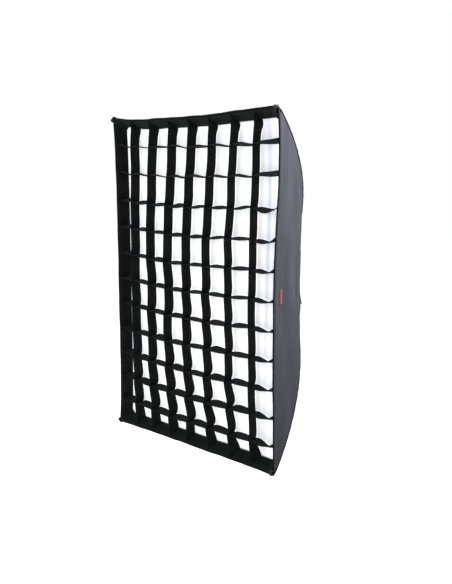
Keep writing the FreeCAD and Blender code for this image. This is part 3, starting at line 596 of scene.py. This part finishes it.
# --- Hook-and-loop tapes inside the front lip -----------------------------------------------------
# Loop tape, 40 mm wide and sewn along both edges, runs round the inside of the lip. It is what
# the grid's border grips.
LOOP_PROFILE = [(0.0030 + 0.0020 * step, 0.0026) for step in range(21)]
tapes = [band(f"loop_tape_{side}", side, LOOP_PROFILE, 0.0002, 80 + number, 0.985, 0.0007)
         for number, side in enumerate(SIDES)]
loop_tape, tree, shader = new_material("napped_loop_tape", Roughness=0.95, Sheen_Weight=0.25)
nap = noise(tree, on_cloth(tree), 900.0, 6.0, Roughness=0.7)
mixed_colour(tree, shader, nap, "0c0d0e", "222327")
bumped(tree, shader, nap, 0.001, 0.8)
dressed(joined("loop_tape_band", tapes), loop_tape, "hook_tape", "loop_tapes")


# --- Front diffuser -------------------------------------------------------------------------------
# White ripstop-free nylon is stretched across the front behind the grid. It keeps the upright
# folds that it was packed with, deepest beside the right-hand edge.
DIFFUSER_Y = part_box("front_diffuser")[0].y
DIFFUSER_DEPTH = DIFFUSER_Y - FRONT_Y
DIFFUSER_HALF = (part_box("front_diffuser")[1].x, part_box("front_diffuser")[1].z)
rng = np.random.default_rng(90)
FOLDS = [(place, rng.uniform(0.004, 0.009), rng.uniform(0.0006, 0.0016) * depth,
          rng.uniform(0, math.tau), rng.uniform(1.0, 2.5))
         for place, depth in ((-0.350, 1.4), (-0.322, 1.0), (-0.262, 0.6), (-0.208, 0.5), (-0.150, 0.7),
                              (-0.085, 0.5), (-0.030, 0.6), (0.041, 0.5), (0.088, 0.7), (0.139, 0.6),
                              (0.171, 0.8), (0.236, 0.8), (0.268, 1.1), (0.318, 1.7), (0.336, 2.2),
                              (0.356, 2.4), (0.369, 1.6))]
# Painted shade along the folds: each one's place across, half-width, strength and phase.
FOLD_SHADE = [(0.322, 0.012, 0.75, 0.4), (0.345, 0.007, 0.5, 1.1), (0.222, 0.008, 0.22, 2.0),
              (0.243, 0.006, 0.2, 0.2), (0.128, 0.006, 0.22, 2.9), (0.165, 0.010, 0.16, 4.4),
              (0.045, 0.008, 0.14, 5.0), (-0.060, 0.008, 0.14, 1.8), (-0.168, 0.009, 0.12, 0.9),
              (-0.262, 0.008, 0.16, 3.3), (-0.345, 0.010, 0.35, 2.2)]


def pulled_in(x, z, depth):
    """The same point after the sagging sides have drawn in the cloth that is fixed to them.

    Each side's sag at this depth is added in full at that side and less and less towards
    the middle, as the fourth power of the distance from it.
    """
    half_x, half_z = DIFFUSER_HALF
    shift_x, shift_z = 0, 0
    for side, sign, lengthwise in (("right", 1, False), ("left", -1, False), ("top", 1, True),
                                   ("bottom", -1, True)):
        own, other = (z / half_z, x / half_x) if lengthwise else (x / half_x, z / half_z)
        shift = -sign * sag_at(side, other, depth) * np.clip(own * sign, 0, 1) ** 4
        shift_x, shift_z = (shift_x, shift_z + shift) if lengthwise else (shift_x + shift, shift_z)
    return x + shift_x, z + shift_z


def diffuser_depth(x, z):
    """How far the cloth lies behind its plane.

    Each fold is a narrow upright ridge with a bell-shaped section and a wavering centre
    line; between them the cloth bellies slightly and is faintly crumpled.
    """
    half_x, half_z = DIFFUSER_HALF
    inside = np.clip((1 - np.abs(x / half_x)) / 0.03, 0, 1) \
        * np.clip((1 - np.abs(z / half_z)) / 0.02, 0, 1)
    folds = sum(height * np.exp(-((x - place - 0.004 * np.sin(turns * z * 5 + phase)) / wide) ** 2)
                * (0.75 + 0.25 * np.sin(7 * z + phase)) for place, wide, height, phase, turns in FOLDS)
    belly = 0.0025 * (1 - (x / half_x) ** 2) * (1 - (z / half_z) ** 2)
    crumple = rumple(91, x, z, [(7, 2), (13, 5), (21, 3), (31, 11)], 0.00035)
    return (folds + belly + crumple + 0.0008) * inside


columns = np.sort(np.concatenate([np.linspace(-1, 1, 170), np.linspace(0.70, 0.99, 60)]))
x, z = np.meshgrid(columns * DIFFUSER_HALF[0], np.linspace(-1, 1, 190) * DIFFUSER_HALF[1],
                   indexing="ij")
drawn_x, drawn_z = pulled_in(x, z, DIFFUSER_DEPTH)
points = np.stack([drawn_x, DIFFUSER_Y + 0.0002 + diffuser_depth(x, z), drawn_z], axis=-1)
diffuser = surface("diffuser_cloth", points, (0, -1, 0), "diffuser", 0.0004)
# Painted light: the white cloth glows by its own emission, standing in for light, though no lamp is behind
# it.
glowing_white_cloth = cloth("white_diffusion_nylon_painted_glow", "f1f2f4", "fbfbfc", 0.0015, relief=0.12, streak=(30, 3),
                    crease=0.0004, Roughness=0.75, Emission_Strength=0.46, Sheen_Weight=0.05)
# Painted shade: the attribute fold holds how much each fold darkens the cloth, and the cloth's colour and
# its glow are mixed towards blue-grey by it, standing in for the shading of the folds.
fold = diffuser.data.attributes.new("fold", "FLOAT", "POINT")
folded = sum(weight * np.exp(-((x - place - 0.006 * np.sin(3.1 * z + phase)) / wide) ** 2)
             * (0.7 + 0.3 * np.sin(5 * z + phase)) for place, wide, weight, phase in FOLD_SHADE)
fold.data.foreach_set("value", folded.reshape(-1))
tree = glowing_white_cloth.node_tree
shader = tree.nodes["Principled BSDF"]
fold_shade_amount = add(tree, "ShaderNodeAttribute", attribute_name="fold").outputs["Fac"]
unshaded_cloth_colour = shader.inputs["Base Color"].links[0].from_socket
fold_shaded_colour = blend(tree, fold_shade_amount, unshaded_cloth_colour, linear("a9b4cf"))
for socket in ("Base Color", "Emission Color"):
    tree.links.new(fold_shaded_colour, shader.inputs[socket])
dressed(diffuser, glowing_white_cloth, "diffusion_cloth", "front_diffuser")

# --- Diffuser edge tapes --------------------------------------------------------------------------
# Hook tape, 20 mm wide, is sewn along the four edges of the diffuser's back and pressed onto
# tabs in the lip.
TAPE_WIDE = 0.020
edge_tapes = []
for side in SIDES:
    out, way, _, _ = side_sizes(side)
    half_out, half_way = DIFFUSER_HALF if out[0] else DIFFUSER_HALF[::-1]
    run, inner = np.meshgrid(np.linspace(-0.97, 0.97, 150) * half_way,
                             half_out - 0.001 - np.linspace(0, 1, 7) * TAPE_WIDE, indexing="ij")
    flat = inner[..., None] * out + run[..., None] * way
    drawn_x, drawn_z = pulled_in(flat[..., 0], flat[..., 2], DIFFUSER_DEPTH)
    behind = diffuser_depth(flat[..., 0], flat[..., 2])
    lying = np.stack([drawn_x, DIFFUSER_Y + 0.0009 + behind, drawn_z], axis=-1)
    edge_tapes.append(surface(f"tape_{side}", lying, (0, 1, 0), "diffuser", 0.0008, offset=1))
dressed(joined("front_diffuser_tapes", edge_tapes), twill, "diffusion_cloth", "diffuser_tapes")


# --- Inner baffle ---------------------------------------------------------------------------------
# A smaller sheet of the same white cloth, hemmed all round, hangs on elastic halfway down the
# box and evens out the bright middle.
BAFFLE_LOW, BAFFLE_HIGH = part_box("inner_baffle")
HEM_WIDE = 0.018


def baffle_points(x, z, lift):
    """Points of the baffle at shares, -1 to 1, of its half sizes, lifted back from its front.

    Between its corners the cloth is drawn in, as the fifth power of the distance from the
    middle, and slow waves run through it that are still at the corners.
    """
    drag = 0.010 * (1 - np.abs(x * z))
    wave = rumple(95, x, z, [(1.2, 0.4), (2.1, 1.3), (3.2, 0.6)], 0.0022) * (1 - (x * z) ** 4)
    return np.stack([x * BAFFLE_HIGH.x - drag * np.sign(x) * np.abs(x) ** 5 * (1 - z ** 4),
                     BAFFLE_LOW.y + lift + wave,
                     z * BAFFLE_HIGH.z - drag * np.sign(z) * np.abs(z) ** 5 * (1 - x ** 4)], axis=-1)


x, z = np.meshgrid(np.linspace(-1, 1, 110), np.linspace(-1, 1, 160), indexing="ij")
baffle = surface("baffle_cloth", baffle_points(x, z, 0.0004), (0, -1, 0), "shell", 0.0005)
# The baffle takes the same cloth, with its painted glow.
dressed(baffle, glowing_white_cloth, "diffusion_cloth", "inner_baffle")
frame_strips = []
for side in SIDES:
    out = side_sizes(side)[0]
    share = 1 - np.linspace(0, 1, 6) * HEM_WIDE / (BAFFLE_HIGH.x if out[0] else BAFFLE_HIGH.z)
    first, second = np.tile(out.sum() * share, (90, 1)), np.linspace(-1, 1, 90)[:, None] * share
    x, z = (first, second) if out[0] else (second, first)
    frame_strips.append(surface(f"baffle_hem_{side}", baffle_points(x, z, -0.0001), (0, -1, 0),
                                "shell", 0.0014))
dressed(joined("baffle_hem", frame_strips), glowing_white_cloth, "diffusion_cloth", "inner_baffle")

# --- Baffle elastics ------------------------------------------------------------------------------
# White ribbed elastic, 10 mm wide, runs from each corner of the baffle to a wire loop that rides
# on the rod. The stretched middle is narrower than the sewn ends.
straps = []
low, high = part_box("baffle_elastics")
middle_y = (low.y + high.y) / 2
for corner, (sign_x, sign_z) in CORNERS.items():
    start, end = (np.array((tip.x - short, middle_y, tip.z - short)) * (sign_x, 1, sign_z)
                  for tip, short in ((BAFFLE_HIGH, 0.012), (high, 0.001)))
    run = np.linspace(0, 1, 70)[:, None, None]
    way = (end - start) / np.linalg.norm(end - start)
    aside = np.cross(way, (0, 1, 0))
    width = 0.0050 - 0.0007 * np.sin(math.pi * run)
    points = start + (end - start) * run + aside * width * np.linspace(-1, 1, 7)[None, :, None]
    points = points + BACK * 0.0004 * np.sin(run * 190)
    straps.append(surface(f"strap_{corner}", points, (0, -1, 0), "shell", 0.0009, offset=0))


def ribbed_elastic(name, dark, light, way, tall, strength, sheen):
    """Woven elastic: ribs 1.4 mm apart along one way of the cloth, in its colour and its bump."""
    material, tree, shader = new_material(name, Roughness=0.8, Sheen_Weight=sheen)
    ribs = ridges(tree, on_cloth(tree), 0.0014, way)
    mixed_colour(tree, shader, ribs, dark, light)
    bumped(tree, shader, ribs, tall, strength)
    return material


white_elastic = ribbed_elastic("white_ribbed_elastic", "c9c9c6", "efefec", "Y", 0.0005, 0.7, 0.1)
dressed(joined("baffle_elastic_straps", straps), white_elastic, "elastic_band", "baffle_elastics")


# --- Grid border ----------------------------------------------------------------------------------
# The grid hangs in a band of doubled black cloth, 44 mm deep, whose back is hook tape. It
# follows the lip, sags with it, and rounds each corner inside the rod's pocket.
BORDER_INSET, BORDER_THICK = 0.0040, 0.0014
BORDER_FRONT, BORDER_BACK = 0.001, 0.045
GRID_DEEP = BORDER_BACK - BORDER_FRONT
CORNER_ROUND, STRAIGHT = 0.034, 0.88


def border_point(side, depth, along, inset):
    """A point of the border band, where along runs -1 to 1 from mitre to mitre.

    The middle runs straight beside the wall, and each end turns through the first or last 45
    degrees of a rounded corner. The sag fades to nothing in the turn.
    """
    depth, along = np.broadcast_arrays(depth, along)
    wall_way = wall_reach("top" if side_sizes(side)[0][0] else "right", depth, inset)
    straight = np.clip(np.abs(along) / STRAIGHT, 0, 1)
    turned = np.clip((np.abs(along) - STRAIGHT) / (1 - STRAIGHT), 0, 1) * math.pi / 4
    run = np.sign(along) * ((wall_way - CORNER_ROUND) * straight + CORNER_ROUND * np.sin(turned))
    reach = wall_reach(side, depth, inset) - CORNER_ROUND * (1 - np.cos(turned))
    sag = sag_at(side, run / wall_way, depth) * np.cos(2 * turned)
    return in_space(side, reach - sag, run, FRONT_Y + depth)


# Tightly woven black cotton twill: matt and slightly cool, with almost no shine.
grid_cloth = cloth("black_cotton_twill", "080a0a", "121615", 0.0018, relief=0.35, streak=(25, 25),
                   Roughness=0.9, Sheen_Weight=0.01, Specular_IOR_Level=0.12)
for number, side in enumerate(SIDES):
    turns = np.linspace(STRAIGHT, 1, 14)
    along = np.concatenate([-turns[::-1], np.linspace(-STRAIGHT, STRAIGHT, 190)[1:-1], turns])[:, None]
    depth = np.linspace(BORDER_FRONT, BORDER_BACK, 13)[None, :]
    ripple = rumple(100 + number, along, depth * 4, [(5, 1), (9, 2), (14, 1), (23, 2)], 0.0005)
    edge = ripple * np.sin(math.pi * (depth - BORDER_FRONT) / GRID_DEEP) ** 0.3
    points = border_point(side, depth, along, BORDER_INSET)
    points = points - side_sizes(side)[0] * (np.abs(edge) * 0.8)[..., None]
    border = surface(f"border_{side}", points, side_sizes(side)[0], "grid", BORDER_THICK)
    dressed(border, grid_cloth, "grid_fabric", f"grid_border_{side}")

border_sewing = []
for side in SIDES:
    out, way, _, share_way = side_sizes(side)
    spots = np.linspace(-0.87, 0.87, int(2 * CORNER_REACH * share_way * 0.87 / 0.0055))
    for depth in (BORDER_FRONT + 0.003, BORDER_BACK - 0.003):
        line = border_point(side, depth, spots, BORDER_INSET + BORDER_THICK + 0.0003)
        border_sewing.append(stitches("border_stitches", line, way, -out, 0.0036, 0.0007, "grid"))
sewn("border_stitching", border_sewing)


# --- Grid strips ----------------------------------------------------------------------------------
# Seven upright and eleven level strips of the same doubled cloth are slotted half-way through
# each other and sewn to the border. Nothing stiffens them, so each cell's walls bow and twist.
boxes = [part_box(f"grid_vertical_{number:02d}") for number in range(1, 8)]
UPRIGHT_X = np.array([(low.x + high.x) / 2 for low, high in boxes])
boxes = [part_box(f"grid_horizontal_{number:02d}") for number in range(1, 12)]
LEVEL_Z = np.array([(low.z + high.z) / 2 for low, high in boxes])
STRIP_THICK, SLOT_HALF = 0.0012, 0.0007
STRIP_INSET = BORDER_INSET + BORDER_THICK + 0.0002
EYE_LEVEL = 0.36  # Strips below this height show their tops in front; those above, their undersides.
across_count, up_count = len(UPRIGHT_X), len(LEVEL_Z)
upright_cells, level_cells = (across_count, up_count + 1), (up_count, across_count + 1)
rng = np.random.default_rng(110)
upright_bow = rng.uniform(0.45, 1.25, upright_cells) * np.where(rng.random(upright_cells) < 0.10, -0.4, 1)
level_bow, level_twist = rng.uniform(0.4, 1.3, level_cells), rng.uniform(0.15, 1.2, level_cells)
wander_x, wander_z = (rng.normal(0, spread, (across_count, up_count)) for spread in (0.0016, 0.0013))


def settled(x, z):
    """How far the loose grid has moved at a place: to the left, and down.

    It hangs from the top border, so the drop grows from the top to just below the middle,
    and the slack gathers in the lowest cells. The shift left is greatest in the middle.
    """
    down = 0.029 * (1 - 0.55 * smooth_step((z - 0.10) / 0.45)) \
        * (1 - 0.45 * smooth_step((-0.28 - z) / 0.30))
    held = np.where(x > 0, 0.5, 0.75) * (x / 0.39) ** 2
    left = 0.036 * np.clip(1 - ((x - 0.02) / 0.41) ** 2, 0, 1) * smooth_step((0.585 - z) / 0.46) \
        * (1 - 0.5 * smooth_step((-0.28 - z) / 0.30))
    return left, down * (1 - held)


nominal_x, nominal_z = np.meshgrid(UPRIGHT_X, LEVEL_Z, indexing="ij")
left, down = settled(nominal_x, nominal_z)
CROSS_X, CROSS_Z = nominal_x - left + wander_x, nominal_z - down + wander_z


def through(knots, values, place):
    """A smooth curve through the values at the knots: cubic pieces with matching slopes."""
    slopes = np.gradient(values, knots)
    index = np.clip(np.searchsorted(knots, place) - 1, 0, len(knots) - 2)
    span = knots[index + 1] - knots[index]
    share = np.clip((place - knots[index]) / span, 0, 1)
    square, cube = share ** 2, share ** 3
    curve = (2 * cube - 3 * square + 1) * values[index] + (3 * square - 2 * cube) * values[index + 1] \
        + (cube - 2 * square + share) * span * slopes[index] + (cube - square) * span * slopes[index + 1]
    return curve, index, share


def bow(share):
    """A bulge between two crossings that peaks three tenths of the way: a sine, damped."""
    return 2.39 * np.sin(math.pi * share) * np.exp(-2.2 * share)


def upright_x(number, z, back):
    """Where an upright strip stands at a height; back runs 0 to 1 from its front edge.

    It runs through its crossings, and between two of them it bows to the right, most just
    above the lower one. The slack makes the bows three times deeper in the lowest cells. Its
    back edge bulges just under the top border and flares out at the bottom one, and the
    right-hand strips are turned a little, so that their back edges stand further left.
    """
    ends = UPRIGHT_X[number] - np.array([settled(UPRIGHT_X[number], height)[0] for height in (-0.59, 0.59)])
    knots = np.concatenate([[-HALF_TALL], CROSS_Z[number], [HALF_TALL]])
    curve, cell, share = through(knots, np.concatenate([ends[:1], CROSS_X[number], ends[1:]]), z)
    slack_here = 0.0030 + 0.0030 * smooth_step((0.20 - z) / 0.35) + 0.0045 * smooth_step((-0.15 - z) / 0.28)
    slack_here = slack_here * (0.6, 0.8, 1.0, 1.1, 1.1, 1.0, 0.55)[number]
    bulge = 0.008 * np.exp(-((z - 0.548) / 0.018) ** 2) * (0.3 + 0.7 * back)
    widest = (0.004, 0.004, 0.005, 0.005, 0.006, 0.013, 0.016)[number]
    flare = smooth_step((-0.515 - z) / 0.05) * back * widest
    turned = -0.0055 * smooth_step((UPRIGHT_X[number] + 0.05) / 0.30) * (back - 0.2)
    turned = turned * smooth_step((0.60 - z) / 0.08) * smooth_step((z + 0.62) / 0.10)
    return curve + slack_here * upright_bow[number][cell] * bow(share) * (0.78 + 0.34 * back) \
        + bulge + flare + turned


def level_z(number, x, back):
    """Where a level strip lies at a distance across; back runs 0 to 1 from its front edge.

    It runs through its crossings. In each cell the edge that shows beyond the other humps up
    just right of the left upright and twists away from it, and both run down to the next.
    In the last cell the strip dips, turns edge on and curls up to the border; the three
    highest strips fan out there instead.
    """
    height = LEVEL_Z[number]
    ends = height - np.array([settled(-0.39, height)[1], 0.002])
    knots = np.concatenate([[-HALF_WIDE], CROSS_X[:, number], [HALF_WIDE]])
    curve, cell, share = through(knots, np.concatenate([ends[:1], CROSS_Z[:, number], ends[1:]]), x)
    outer = back if height < EYE_LEVEL else 1 - back
    last = cell == across_count
    hump = (0.0035 + 0.0020 * smooth_step((0.2 - height) / 0.5)) * level_bow[number][cell] * bow(share)
    near_eye = 0.0085 * np.exp(-((height - EYE_LEVEL) / 0.16) ** 2)
    lens = (0.0050 * level_twist[number][cell] + near_eye) * np.sin(math.pi * share) ** 1.3
    low_row = height < 0.3
    curl = np.where(last & low_row, 0.017 * np.sin(math.pi * share ** 1.3), 0)
    # The curl also closes the two edges up as they are seen from above or below.
    close = np.where(last & low_row,
                     0.58 * (height - EYE_LEVEL) * GRID_DEEP * smooth_step(share / 0.8), 0)
    fan = np.where(last & (height > 0.25), 0.016 * share ** 1.5, 0)
    return curve + hump * (0.3 + 0.9 * outer) * np.where(last, 1 - share, 1) \
        + (lens * np.where(last, 1 - 0.8 * share, 1) + fan) * (outer - 0.45) - curl + close * (outer - 0.5)


def strip(name, ends, crossings, offset, upright, slots_behind):
    """A strip on a grid: one row for each step along it, one column for each step in depth.

    ends gives its two end distances at each depth, crossings where the other strips pass
    at each depth, and offset its sideways place at each point. Narrow rows at the crossings
    are left out over half the depth, as slots.
    """
    back = np.linspace(0, 1, 9)
    behind = BORDER_FRONT + GRID_DEEP * back
    first, last = ends(behind)
    inner = np.stack([crossings(back) - SLOT_HALF, crossings(back) + SLOT_HALF], axis=2)
    knots = np.concatenate([first[:, None], inner.reshape(len(back), -1), last[:, None]], axis=1)
    steps = np.concatenate([[0.0]] + [np.linspace(span, span + 1, 2 if span % 2 else 19)[1:]
                                      for span in range(knots.shape[1] - 1)])
    index = np.minimum(steps.astype(int), knots.shape[1] - 2)
    share = steps - index
    long = (knots[:, index] * (1 - share) + knots[:, index + 1] * share).T
    depth = np.broadcast_to(FRONT_Y + behind, long.shape)
    side = offset(long, np.broadcast_to(back, long.shape))
    points = np.stack([side, depth, long] if upright else [long, depth, side], axis=-1)
    narrow = (index[:-1] % 2 == 1) & (np.diff(steps) > 0.9)
    back_half = np.arange(len(back) - 1) >= 4
    cuts = narrow[:, None] & (back_half if slots_behind else ~back_half)[None, :]
    return surface(name, points, (1, 0, 0) if upright else (0, 0, 1), "grid", STRIP_THICK,
                   offset=0, cuts=cuts)


for number, x in enumerate(UPRIGHT_X):
    foot = x - settled(x, -0.59)[0]
    piece = strip(f"upright_strip_{number + 1:02d}",
                  lambda depth: (edge_point("bottom", depth, STRIP_INSET, foot / HALF_WIDE)[:, 2],
                                 edge_point("top", depth, STRIP_INSET, x / HALF_WIDE)[:, 2]),
                  lambda back: np.stack([level_z(row, np.full(len(back), CROSS_X[number, row]), back)
                                         for row in range(len(LEVEL_Z))], axis=1),
                  lambda z, back: upright_x(number, z, back), True, True)
    dressed(piece, grid_cloth, "grid_fabric", f"grid_vertical_{number + 1:02d}")
for number, z in enumerate(LEVEL_Z):
    piece = strip(f"level_strip_{number + 1:02d}",
                  lambda depth: (edge_point("left", depth, STRIP_INSET, z / HALF_TALL)[:, 0],
                                 edge_point("right", depth, STRIP_INSET, z / HALF_TALL)[:, 0]),
                  lambda back: np.stack([
                      upright_x(column, np.full(len(back), CROSS_Z[column, number]), back)
                      for column in range(len(UPRIGHT_X))], axis=1),
                  lambda x, back: level_z(number, x, back), False, False)
    dressed(piece, grid_cloth, "grid_fabric", f"grid_horizontal_{number + 1:02d}")


# --- Rear collar ----------------------------------------------------------------------------------
# A band of ribbed elastic gathers the shell's four panels round the metal ring. A brass eyelet
# lets the lock screw through on the left.
low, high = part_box("rear_collar")
knob_low, knob_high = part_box("lock_knob")
KNOB_Y = (knob_low.y + knob_high.y) / 2
step, turn = np.meshgrid(np.linspace(0, 1, 15), np.linspace(0, math.tau, 433)[:-1], indexing="ij")
ruche = 0.00055 * np.sin(72 * turn + 0.6 * np.sin(5 * turn)) * (0.35 + 0.65 * np.abs(2 * step - 1)) \
    + 0.0002 * np.sin(31 * turn)
radius = high.x - 0.0007 + ruche + 0.0005 * np.sin(math.pi * step)
depth = low.y + (high.y - low.y) * step + 0.0006 * np.sin(36 * turn) * (2 * step - 1)
points = np.stack([radius * np.cos(turn), depth, radius * np.sin(turn)], axis=-1)
centres = (points[:-1] + points[1:]) / 2
holed = (centres[..., 0] < 0) & (np.hypot(centres[..., 1] - KNOB_Y, centres[..., 2]) < 0.0046)
collar = surface("gathered_collar", points, points * (1, 0, 1), "shell", 0.0010, closed=True, cuts=holed)
black_elastic = ribbed_elastic("black_ribbed_elastic", "0f1012", "26272b", "X", 0.0006, 0.8, 0.08)
dressed(collar, black_elastic, "elastic_band", "rear_collar")

EYELET = 0.0052
tube, around = np.meshgrid(np.linspace(0, math.tau, 13), np.linspace(0, math.tau, 41)[:-1],
                           indexing="ij")
points, middle = (np.stack([-(high.x + 0.0006 + rise * np.sin(tube)),
                            KNOB_Y + (EYELET + wide * np.cos(tube)) * np.cos(around),
                            (EYELET + wide * np.cos(tube)) * np.sin(around)], axis=-1)
                  for rise, wide in ((0.0005, 0.0008), (0, 0)))
eyelet = surface("collar_eyelet", points, points - middle, "shell", closed=True)
eyelet_metal, tree, shader = new_material("nickelled_brass", Metallic=1.0, Roughness=0.3)
mixed_colour(tree, shader, noise(tree, on_body(tree), 400.0, 3.0), "8d8c88", "b9b8b3")
eyelet.data.materials.append(eyelet_metal)


# --- Closure flap ---------------------------------------------------------------------------------
# A tongue of webbing, sewn along its top edge beside the ring, closes the shell over the lock.
# It is cut at a slant and widens to its free end, which curls away from the panel.
low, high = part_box("closure_flap")
FLAP_MIDDLE = np.array((0.11486, -0.04761, 0))
FLAP_OUT = np.array((0.5902, 0.8072, 0))
FLAP_ACROSS = np.array((-0.8072, 0.5902, 0))
FLAP_HALF, FLAP_LIFT = 0.023, 0.011
FLAP_ROWS, FLAP_COLUMNS = 60, 26
down, across = np.meshgrid(np.linspace(0, 1, FLAP_ROWS), np.linspace(-1, 1, FLAP_COLUMNS),
                           indexing="ij")
wide = FLAP_HALF * (0.80 + 0.28 * down) * across
curl = FLAP_LIFT * down ** 2.2 + 0.0018 * np.sin(math.tau * (0.7 * down + 0.2)) * down \
    + 0.0016 * across ** 2 * down - 0.0012 * (1 - down) ** 4
slant = 0.010 * across * down ** 3
height = high.z - (high.z - low.z - 0.013) * down + slant
points = FLAP_MIDDLE + FLAP_ACROSS * wide[..., None] + FLAP_OUT * (0.0012 + curl)[..., None] \
    + height[..., None] * np.array((0, 0, 1))
flap = surface("webbing_flap", points, FLAP_OUT, "flap", 0.0013, offset=1)
dressed(flap, webbing, "black_webbing", "closure_flap")
edge_spots = np.linspace(0.04, 0.96, 17)
flap_sewing = []
for edge in (-0.86, 0.86):
    rows = np.clip((edge_spots * (FLAP_ROWS - 1)).astype(int), 1, FLAP_ROWS - 2)
    column = int(round((edge + 1) / 2 * (FLAP_COLUMNS - 1)))
    line = points[rows, column] + FLAP_OUT * 0.0016
    along = points[rows + 1, column] - points[rows - 1, column]
    flap_sewing.append(stitches("flap_stitches", line, along, FLAP_OUT, 0.0036, 0.0008, "flap"))
sewn("flap_stitching", flap_sewing)


# --- Side tab -------------------------------------------------------------------------------------
# A blank red woven label is sewn flat to the right-hand panel behind the hem, halfway down.
low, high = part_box("side_tab")
rise, step = np.meshgrid(np.linspace(low.z, high.z, 60), np.linspace(0, 1, 13), indexing="ij")
tab_depth = low.y - FRONT_Y + (high.y - low.y) * step
edge = np.maximum(np.abs(2 * step - 1), np.abs(2 * (rise - low.z) / (high.z - low.z) - 1)) ** 8
points = edge_point("right", tab_depth, -0.0007 + 0.0003 * edge
                    + rumple(120, rise, step, [(30, 0.4), (55, 0.8)], 0.00015), rise / HALF_TALL)
tab = surface("woven_side_tab", points, (1, 0, 0), "shell", 0.0005, offset=1)
# Damask label: red polyester threads, slightly shiny, drawn 1.2 mm apart.
label_cloth = cloth("red_damask_label", "3c0d10", "4c1215", 0.0012, relief=0.5, streak=(50, 50),
                    Roughness=0.6, Sheen_Weight=0.03, Specular_IOR_Level=0.15)
dressed(tab, label_cloth, "woven_tab", "side_tab")


# --- Rods, caps and sockets -----------------------------------------------------------------------
# Each rod is drawn spring steel, polished by sliding in its sleeve, with a pressed-on black cap
# at its tip and a zinc-plated swivel socket at the ring.
def metal(name, dark, light, roughness, grain, stretch, wear=0.15, **inputs):
    """A metal with fine stretched grain in colour and bump, and slow patches in its roughness."""
    material, tree, shader = new_material(name, **inputs)
    place = on_body(tree)
    lengthened = add(tree, "ShaderNodeMapping", {"Vector": place, "Scale": stretch}).outputs[0]
    grained = noise(tree, lengthened, 1 / grain, 4.0)
    mixed_colour(tree, shader, grained, dark, light)
    rough = add(tree, "ShaderNodeMapRange", {"Value": noise(tree, place, 60.0, 3.0),
                                             "To Min": roughness - wear / 2,
                                             "To Max": roughness + wear / 2})
    tree.links.new(rough.outputs[0], shader.inputs["Roughness"])
    bumped(tree, shader, grained, 0.0002, 0.2)
    return material


def finish_nodes(material, *names):
    """Gives a material to every slot of these CAD nodes."""
    for name in names:
        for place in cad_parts[name].material_slots:
            place.material = material


# Spring steel, cold drawn: bright grey with lengthwise scratches.
finish_nodes(metal("drawn_spring_steel", "8b8d90", "b4b6b8", 0.30, 0.0015, (1, 0.1, 1), Metallic=1.0),
             *RODS)
# Zinc plate, clear passivated: pale blue-grey with a faint spangle.
finish_nodes(metal("zinc_plated_steel", "9aa0a6", "c3c8cc", 0.34, 0.0020, (1, 1, 1), Metallic=1.0),
             *[name.replace("rod_", "rod_socket_") for name in RODS], "baffle_loops")
# Machine screws, blackened: dark, slightly oily.
finish_nodes(metal("blackened_screw_steel", "2c2d2f", "4a4b4e", 0.38, 0.0008, (1, 1, 1), Metallic=1.0),
             "socket_screws", "retaining_screws")

# --- Speedring, bayonet insert and lock -----------------------------------------------------------
# The ring is cast aluminium in black baked enamel. The insert that turns in it is turned and
# black anodised, and is held by a screwed-on ring; a plastic knob presses a nylon pad on it.
finish_nodes(metal("baked_black_enamel", "121315", "1b1c1f", 0.42, 0.0012, (1, 1, 1), Coat_Weight=0.3,
                   Coat_Roughness=0.3, Specular_IOR_Level=0.5), "speedring_body")
finish_nodes(metal("anodised_aluminium", "8e9093", "b3b5b8", 0.32, 0.0006, (1, 12, 1), 0.1, Metallic=1.0),
             "bayonet_insert", "retaining_ring")
finish_nodes(metal("moulded_black_abs", "141416", "1e1f21", 0.48, 0.0010, (1, 1, 1), 0.12,
                   Specular_IOR_Level=0.5), "rod_caps", "lock_knob")
finish_nodes(metal("natural_nylon", "cfcabb", "ddd9cc", 0.5, 0.0012, (1, 1, 1), 0.1,
                   Subsurface_Weight=0.15, Subsurface_Scale=0.002), "brake_pad")
